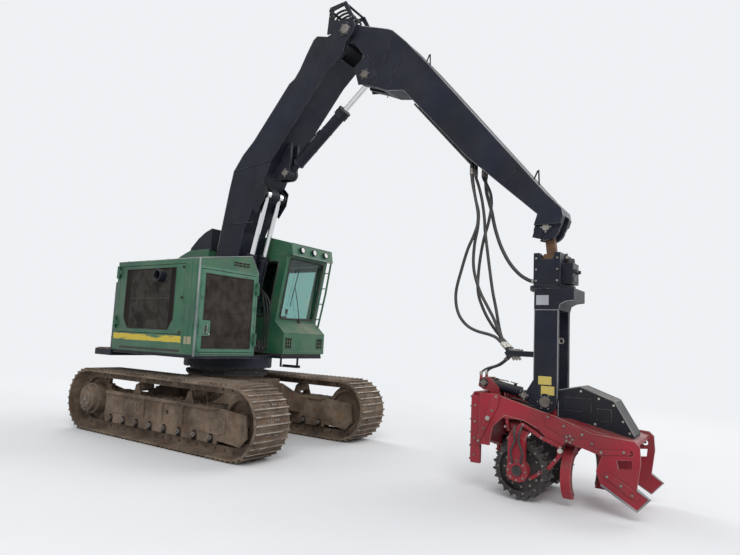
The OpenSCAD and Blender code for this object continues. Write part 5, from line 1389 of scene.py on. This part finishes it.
def side_plate_details(mark, s):
    face = s * HEAD_HALF
    plates, trims, bolts = Shape(), Shape(), []
    # Diagonal strut at the rear, the arms over the arch, and the parts of the nose
    for thick, outline in (
        (0.022, [(-0.54, 0.05), (-0.465, 0.06), (-0.5, -0.1), (-0.735, -0.555), (-0.76, -0.555),
                 (-0.76, -0.5)]),
        (0.03, [(-0.375, -0.445), (-0.335, -0.47), (-0.165, -0.285), (0.045, -0.405), (0.27, -0.48),
                (0.285, -0.445), (0.05, -0.365), (-0.175, -0.24), (-0.205, -0.25)]),
        (0.028, [(0.225, -0.475), (0.27, -0.485), (0.275, -0.56), (0.14, -0.735), (-0.075, -0.885),
                 (-0.1, -0.85), (0.11, -0.705), (0.225, -0.56)]),
        (0.016, [(0.62, -0.44), (0.98, -0.4), (1.0, -0.44), (0.66, -0.48)]),
        (0.018, [(0.7, -0.68), (0.78, -0.66), (1.0, -0.78), (1.09, -0.86), (1.05, -0.9), (0.96, -0.86)]),
        (0.01, [(0.05, -0.1), (0.55, -0.27), (0.55, -0.33), (0.28, -0.33), (0.1, -0.25)]),
    ):
        low, high = sorted((TILT.y + face - s * 0.002, TILT.y + face + s * thick))
        plates.slab([(TILT.x + x, TILT.z + z) for x, z in outline], "y", low, high)
    plates.done("side_plate_parts_" + mark, "head", red_paint, 0.003)
    top = [(-0.53, 0.06), (-0.17, -0.04), (0.2, -0.13), (0.59, -0.27), (1.03, -0.3), (1.08, -0.35)]
    arch = [(-0.01, -0.285), (-0.17, -0.215), (-0.41, -0.18), (-0.56, -0.33), (-0.6, -0.56)]
    foot = [(1.05, -0.79), (1.17, -0.87), (1.05, -1.01), (0.69, -0.8)]
    for line in (top, arch):
        trims.pipe(head_row(face + s * 0.001, line), 0.006, 6)
    trims.done("side_plate_edges_" + mark, "head", red_worn)
    Shape().pipe(head_row(face - s * 0.011, foot), 0.017, 8).done("foot_wear_" + mark, "head", worn_edge)
    bolts += [(p, (0, s, 0)) for p in head_row(face + s * 0.018, (
        (-0.51, 0.03), (-0.56, -0.14), (-0.66, -0.36), (-0.73, -0.52), (-0.35, -0.44), (-0.17, -0.262),
        (0.045, -0.385), (0.262, -0.463), (0.205, -0.61), (0.02, -0.79), (-0.08, -0.868), (0.12, -0.14),
        (0.3, -0.22), (0.5, -0.29), (0.7, -0.455), (0.93, -0.42), (0.76, -0.7), (0.9, -0.77),
        (1.01, -0.85)))]
    for x, z, r, count in ((-0.395, -0.31, 0.001, 1), (0.355, -0.36, 0.036, 5), (0.6, -0.375, 0.001, 1)):
        bolts += on_ring(on_head(x, face + s * 0.001, z), (0, s, 0), r, count)
    studs("side_plate_bolts_" + mark, "head", worn_steel, bolts, 0.015, 0.016)
    knobs = [(p, (0, s, 0)) for p in head_row(face + s * 0.02, ((-0.612, -0.235), (0.262, -0.5)))]
    studs("side_plate_knobs_" + mark, "head", worn_zinc, knobs, 0.03, 0.03, 20, 0.026)


def wheel_details(mark, s):
    """Rows of cone spikes round the rim, the bolts of the hub and its motor, and the motor's hoses."""
    x, z = FEED_WHEEL
    wheel, arm = "feed_wheel_" + mark, "feed_arm_" + mark
    spikes, bolts = [], []
    for row in range(SPIKE_ROWS):
        centre = on_head(x, s * (0.33 + 0.03 + 0.053 * row), z)
        for k in range(SPIKES):
            turn = 2 * pi * (k + 0.82 + 0.12 * (row % 2)) / SPIKES
            out = Vector((cos(turn), 0, sin(turn)))
            spikes.append((centre + out * 0.292, out))
    studs("wheel_spikes_" + mark, wheel, dark_steel, spikes, 0.016, 0.03, 6, 0.004)
    for y, facing in ((0.49, s), (0.33, -s)):
        bolts += [(p, (0, facing, 0)) for p in circle(on_head(x, s * y, z), (0, 1, 0), 0.205, 12)]
    studs("wheel_bolts_" + mark, wheel, worn_steel, bolts, 0.014, 0.014)
    rim = [(p, (0, s, 0)) for p in circle(on_head(x, s * 0.549, z), (0, 1, 0), 0.272, 11)]
    studs("rim_studs_" + mark, wheel, worn_steel, rim, 0.011, 0.01, 8)
    face = on_head(x, s * 0.66, z)
    studs("motor_bolts_" + mark, arm, worn_steel, on_ring(face, (0, s, 0), 0.102, 8), 0.012, 0.012)
    studs("motor_caps_" + mark, arm, dark_steel, [(face, (0, s, 0))], 0.062, 0.022, 24, 0.054)
    ports = Shape()
    for x in (-0.045, 0.045):
        start = face + Vector((x, -s * 0.01, 0.085))
        ports.hose([start + Vector((x * along, s * out, up)) for along, out, up in (
            (0, 0, 0), (0.2, 0.026, 0.03), (0.5, 0.03, 0.13), (-0.5, 0.026, 0.25), (-0.2, 0.018, 0.36),
            (-0.2, -0.03, 0.41))], 5, 0.013)
    ports.done("motor_hoses_" + mark, arm, hose_rubber)


def knife_point(s, angle, r, x):
    """Place on an opened knife: degrees about its ring's centre, a radius, and x from the tilt pin."""
    y = r * cos(radians(angle)) - KNIFE_PIVOT[0]
    z = KNIFE_CENTRE_Z + r * sin(radians(angle)) - KNIFE_PIVOT[1]
    c, d = cos(KNIFE_OPEN), sin(KNIFE_OPEN)
    return on_head(x, s * (KNIFE_PIVOT[0] + y * c - z * d), KNIFE_PIVOT[1] + y * d + z * c)


def knife_details(mark, s):
    x0 = 0.26 if mark == "r" else 0.44
    body = "knife_" + mark
    for name, x in (("front", x0 + 0.112), ("rear", x0 - 0.002)):
        edge = [knife_point(s, a, 0.241, x) for a in range(-95, 56, 10)]
        Shape().pipe(edge, 0.008, 6).done("knife_edge_" + name + "_" + mark, body, worn_steel)
    teeth = []
    for x in (x0 + 0.008, x0 + 0.102):
        at = [knife_point(s, a, 0.24, x) for a in range(-92, 54, 7)]
        teeth += [(p, knife_point(s, 0, 0, x) - p) for p in at]
    studs("knife_teeth_" + mark, body, dark_steel, teeth, 0.015, 0.018, 4, 0.003)
    ribs = Shape()
    for a in (-70, -40, -10, 20):
        ribs.pipe([knife_point(s, a, r, x0 + 0.112) for r in (0.262, 0.296)], 0.009, 6)
    ribs.done("knife_ribs_" + mark, body, red_paint)


def deck_clutter():
    """Valve block, motor, pipes and wedged litter over and under the deck."""
    blocks, pipes, loops = Shape(), Shape(), Shape()
    for low, high in (((-0.33, -0.15, -0.335), (0.1, 0.15, -0.214)),
                      ((-0.25, -0.27, -0.3), (-0.04, -0.15, -0.214)),
                      ((-0.21, 0.15, -0.31), (0.05, 0.26, -0.214))):
        blocks.box(on_head(*low), on_head(*high))
    for x in (-0.27, -0.17, -0.07, 0.03):
        blocks.rod(on_head(x, -0.15, -0.275), on_head(x, -0.215, -0.275), 0.022, 12)
        blocks.rod(on_head(x, 0.15, -0.285), on_head(x, 0.3, -0.285), 0.018, 12)
    blocks.done("valve_block", "head", dark_steel, 0.004)
    for k, (x0, x1, low) in enumerate(((-0.34, -0.05, -0.36), (-0.25, 0.08, -0.345), (-0.16, 0.11, -0.355))):
        y = -0.3 - 0.035 * k
        pipes.hose([on_head(x0, y + 0.06, -0.2), on_head(x0 + 0.01, y, -0.3),
                    on_head((x0 + x1) / 2, y, low), on_head(x1, y, -0.3),
                    on_head(x1 + 0.01, y + 0.06, -0.2)], 6, 0.012)
    pipes.done("valve_pipes", "head", worn_zinc)
    for k in range(4):
        y = -0.36 + 0.24 * k
        loops.hose([on_head(-0.69, y, -0.165), on_head(-0.64, y, -0.09 + 0.012 * k),
                    on_head(-0.42, y + 0.02, -0.1), on_head(-0.16, y + 0.02, -0.125),
                    on_head(-0.05, y, -0.165)], 5, 0.015)
    loops.done("deck_hoses", "head", hose_rubber)
    litter = [(tuple(on_head(x0, y0, SADDLE_Z)), tuple(on_head(x1, y1, SADDLE_Z))) for x0, y0, x1, y1 in (
        (-0.7, -0.43, -0.2, -0.24), (-0.7, 0.26, 0.1, 0.46), (-0.15, -0.44, 0.13, -0.2))]
    clods("deck_litter_head", "head", leaf_litter, litter, 1400.0, 0.017, 8, 0.3)
    clods("cylinder_litter", "tilt_barrel", leaf_litter,
          [((5.03, -0.115, 1.365), (5.4, -0.02, 1.312))], 2300.0, 0.012, 3, 0.35)


def saw_box_details():
    x, bolts = -0.851, []
    shape = Shape()
    for s in (-1, 1):
        shape.box(on_head(x - 0.016, s * 0.452, -0.78), on_head(x + 0.004, s * 0.428, 0.0))
        shape.box(on_head(x - 0.012, s * 0.2 - 0.012, -0.55), on_head(x + 0.004, s * 0.2 + 0.012, 0.03))
        bolts += [(on_head(x - 0.014, s * 0.44, z), (-1, 0, 0))
                  for z in (-0.76, -0.6, -0.44, -0.28, -0.12, 0.0)]
        bolts += [(on_head(-0.8, s * 0.4705, z), (0, s, 0)) for z in (-0.7, -0.5, -0.3, -0.1)]
    lid = [(TILT.y + y, TILT.z + z) for y, z in rectangle(-0.41, 0.015, 0.41, -0.01)]
    shape.slab(lid, "x", TILT.x + x - 0.012, TILT.x + x + 0.004)
    shape.done("saw_box_ribs", "head", red_paint, 0.003)
    bolts += on_ring(on_head(x + 0.002, 0.345, -0.61), (-1, 0, 0), 0.062, 6)
    studs("saw_box_bolts", "head", worn_steel, bolts, 0.014, 0.014)
    a, b, c = head_row(0.345, ((-0.735, -0.61), (-0.625, -0.61), (-0.59, -0.61)))
    motor = Shape().rod(a, b, 0.07, 28).rod(b, c, 0.05, 24)
    motor.box(on_head(-0.7, 0.315, -0.545), on_head(-0.64, 0.375, -0.52))
    motor.done("saw_motor", "head", dark_steel, 0.003)


def cover_details():
    edges, seams, bolts = Shape(), Shape(), []
    half = 0.184
    top = [(0.135, 0.15), (0.389, 0.209), (0.766, 0.073), (0.976, -0.284)]
    for s in (-1, 1):
        edges.pipe(head_row(s * half, top), 0.007, 8)
        edges.pipe(head_row(s * half, ((0.137, -0.16), (0.137, 0.15))), 0.006, 8)
        low, high = sorted((s * half, s * 0.19))
        for x0, x1, z0, z1 in ((0.22, 0.52, -0.08, 0.08), (0.58, 0.74, -0.16, -0.02)):
            seams.box(on_head(x0, low, z0), on_head(x1, high, z1))
        bolts += [(p, (0, s, 0)) for p in head_row(s * 0.1835, (
            (0.4, 0.16), (0.6, 0.09), (0.76, 0.03), (0.86, -0.14), (0.93, -0.26), (0.56, -0.2)))]
    for x, z in top[1:3]:
        edges.pipe([on_head(x, -half, z), on_head(x, half, z)], 0.006, 8)
    edges.done("cover_edges", "head", worn_edge)
    seams.done("cover_panels", "head", black_paint, 0.002)
    studs("cover_bolts", "head", worn_zinc, bolts, 0.014, 0.006)


def hook_details():
    """Tilt cylinder's gland and ports, and the eyes of the hook."""
    foot, eye = Vector((4.985, -0.067, 1.3)), Vector((5.535, -0.067, 1.19))
    way = (eye - foot).normalized()
    rings = Shape().rod(foot + way * 0.425, foot + way * 0.469, 0.07, 28)
    rings.rod(foot + way * 0.085, foot + way * 0.105, 0.069, 28)
    for t in (0.13, 0.39):
        p = foot + way * t
        rings.rod(p + Vector((0, 0, 0.055)), p + Vector((0, 0, 0.088)), 0.02, 12)
    rings.done("tilt_cylinder_rings", "tilt_barrel", black_paint, 0.002)
    hook = [(foot + Vector((0, s * 0.101, 0)), (0, s, 0)) for s in (-1, 1)]
    pin_ends("hook_pin", "head", hook, 0.04, 4, 0.012)
    pin_ends("rod_pin", "hanger", [((eye.x, TILT.y - 0.272, eye.z), (0, -1, 0))], 0.04, 4, 0.012)


for make in (side_plate_details, wheel_details, knife_details):
    for mark, side in SIDES:
        make(mark, side)
deck_clutter()
saw_box_details()
cover_details()
hook_details()

# Floor and light

BACKGROUND = (0.86, 0.88, 0.9)
FLOOR_Z = -0.002
LIGHTS_AIM = Vector((1.5, 0, 2.0))
# For each lamp its size, its power and where it hangs
LIGHTS = {
    "key": (13, 2600, (14, -14, 16)),
    "fill": (16, 1800, (11, 18, 13)),
    "rim": (14, 1900, (-16, 6, 17)),
}


def studio_floor():
    """A plain pale floor that turns into the background with distance, so that no horizon shows."""
    bm = bmesh.new()
    bmesh.ops.create_grid(bm, x_segments=1, y_segments=1, size=60)
    mesh = bpy.data.meshes.new("floor")
    bm.to_mesh(mesh)
    bm.free()
    floor = bpy.data.objects.new("floor", mesh)
    floor.location.z = FLOOR_Z
    bpy.context.scene.collection.objects.link(floor)
    n = finish("floor", 0.9, Specular_IOR_Level=0.0)
    where = n.add("ShaderNodeNewGeometry").outputs["Position"]
    far = n.ramp(n.add("ShaderNodeVectorMath", {0: where}, operation="LENGTH").outputs["Value"], 7.5, 15.0)
    body = n.mix(n.noise(0.8), (0.79, 0.79, 0.79), (0.83, 0.83, 0.83))
    n.set(Base_Color=n.mix(far, body, (0, 0, 0)), Emission_Color=n.mix(far, (0, 0, 0), BACKGROUND),
          Emission_Strength=1.0)
    mesh.materials.append(n.material)


def studio_light():
    """Three large lamps, and a world that lights softly but is seen in the background's own colour."""
    world = bpy.data.worlds.new("studio")
    world.use_nodes = True
    n = Nodes(world.node_tree)
    back = n.tree.nodes["Background"]
    n.fill(back.inputs["Color"], (0.82, 0.85, 0.9))
    n.fill(back.inputs["Strength"], 0.62)
    pale = n.add("ShaderNodeBackground", {"Color": BACKGROUND, "Strength": 1.0})
    rays = n.add("ShaderNodeLightPath").outputs
    seen = n.math("MAXIMUM", rays["Is Camera Ray"], rays["Is Transmission Ray"])
    seen = n.math("MAXIMUM", seen, rays["Is Glossy Ray"])
    mixed = n.add("ShaderNodeMixShader", {0: seen, 1: back.outputs[0], 2: pale.outputs[0]})
    n.fill(n.tree.nodes["World Output"].inputs[0], mixed.outputs[0])
    bpy.context.scene.world = world
    for name, (size, energy, at) in LIGHTS.items():
        light = bpy.data.lights.new(name, "AREA")
        light.size, light.energy = size, energy
        lamp = bpy.data.objects.new(name, light)
        lamp.location = at
        lamp.rotation_euler = (LIGHTS_AIM - Vector(at)).to_track_quat("-Z", "Y").to_euler()
        bpy.context.scene.collection.objects.link(lamp)


studio_floor()
studio_light()
bpy.context.scene.view_settings.view_transform = "Standard"
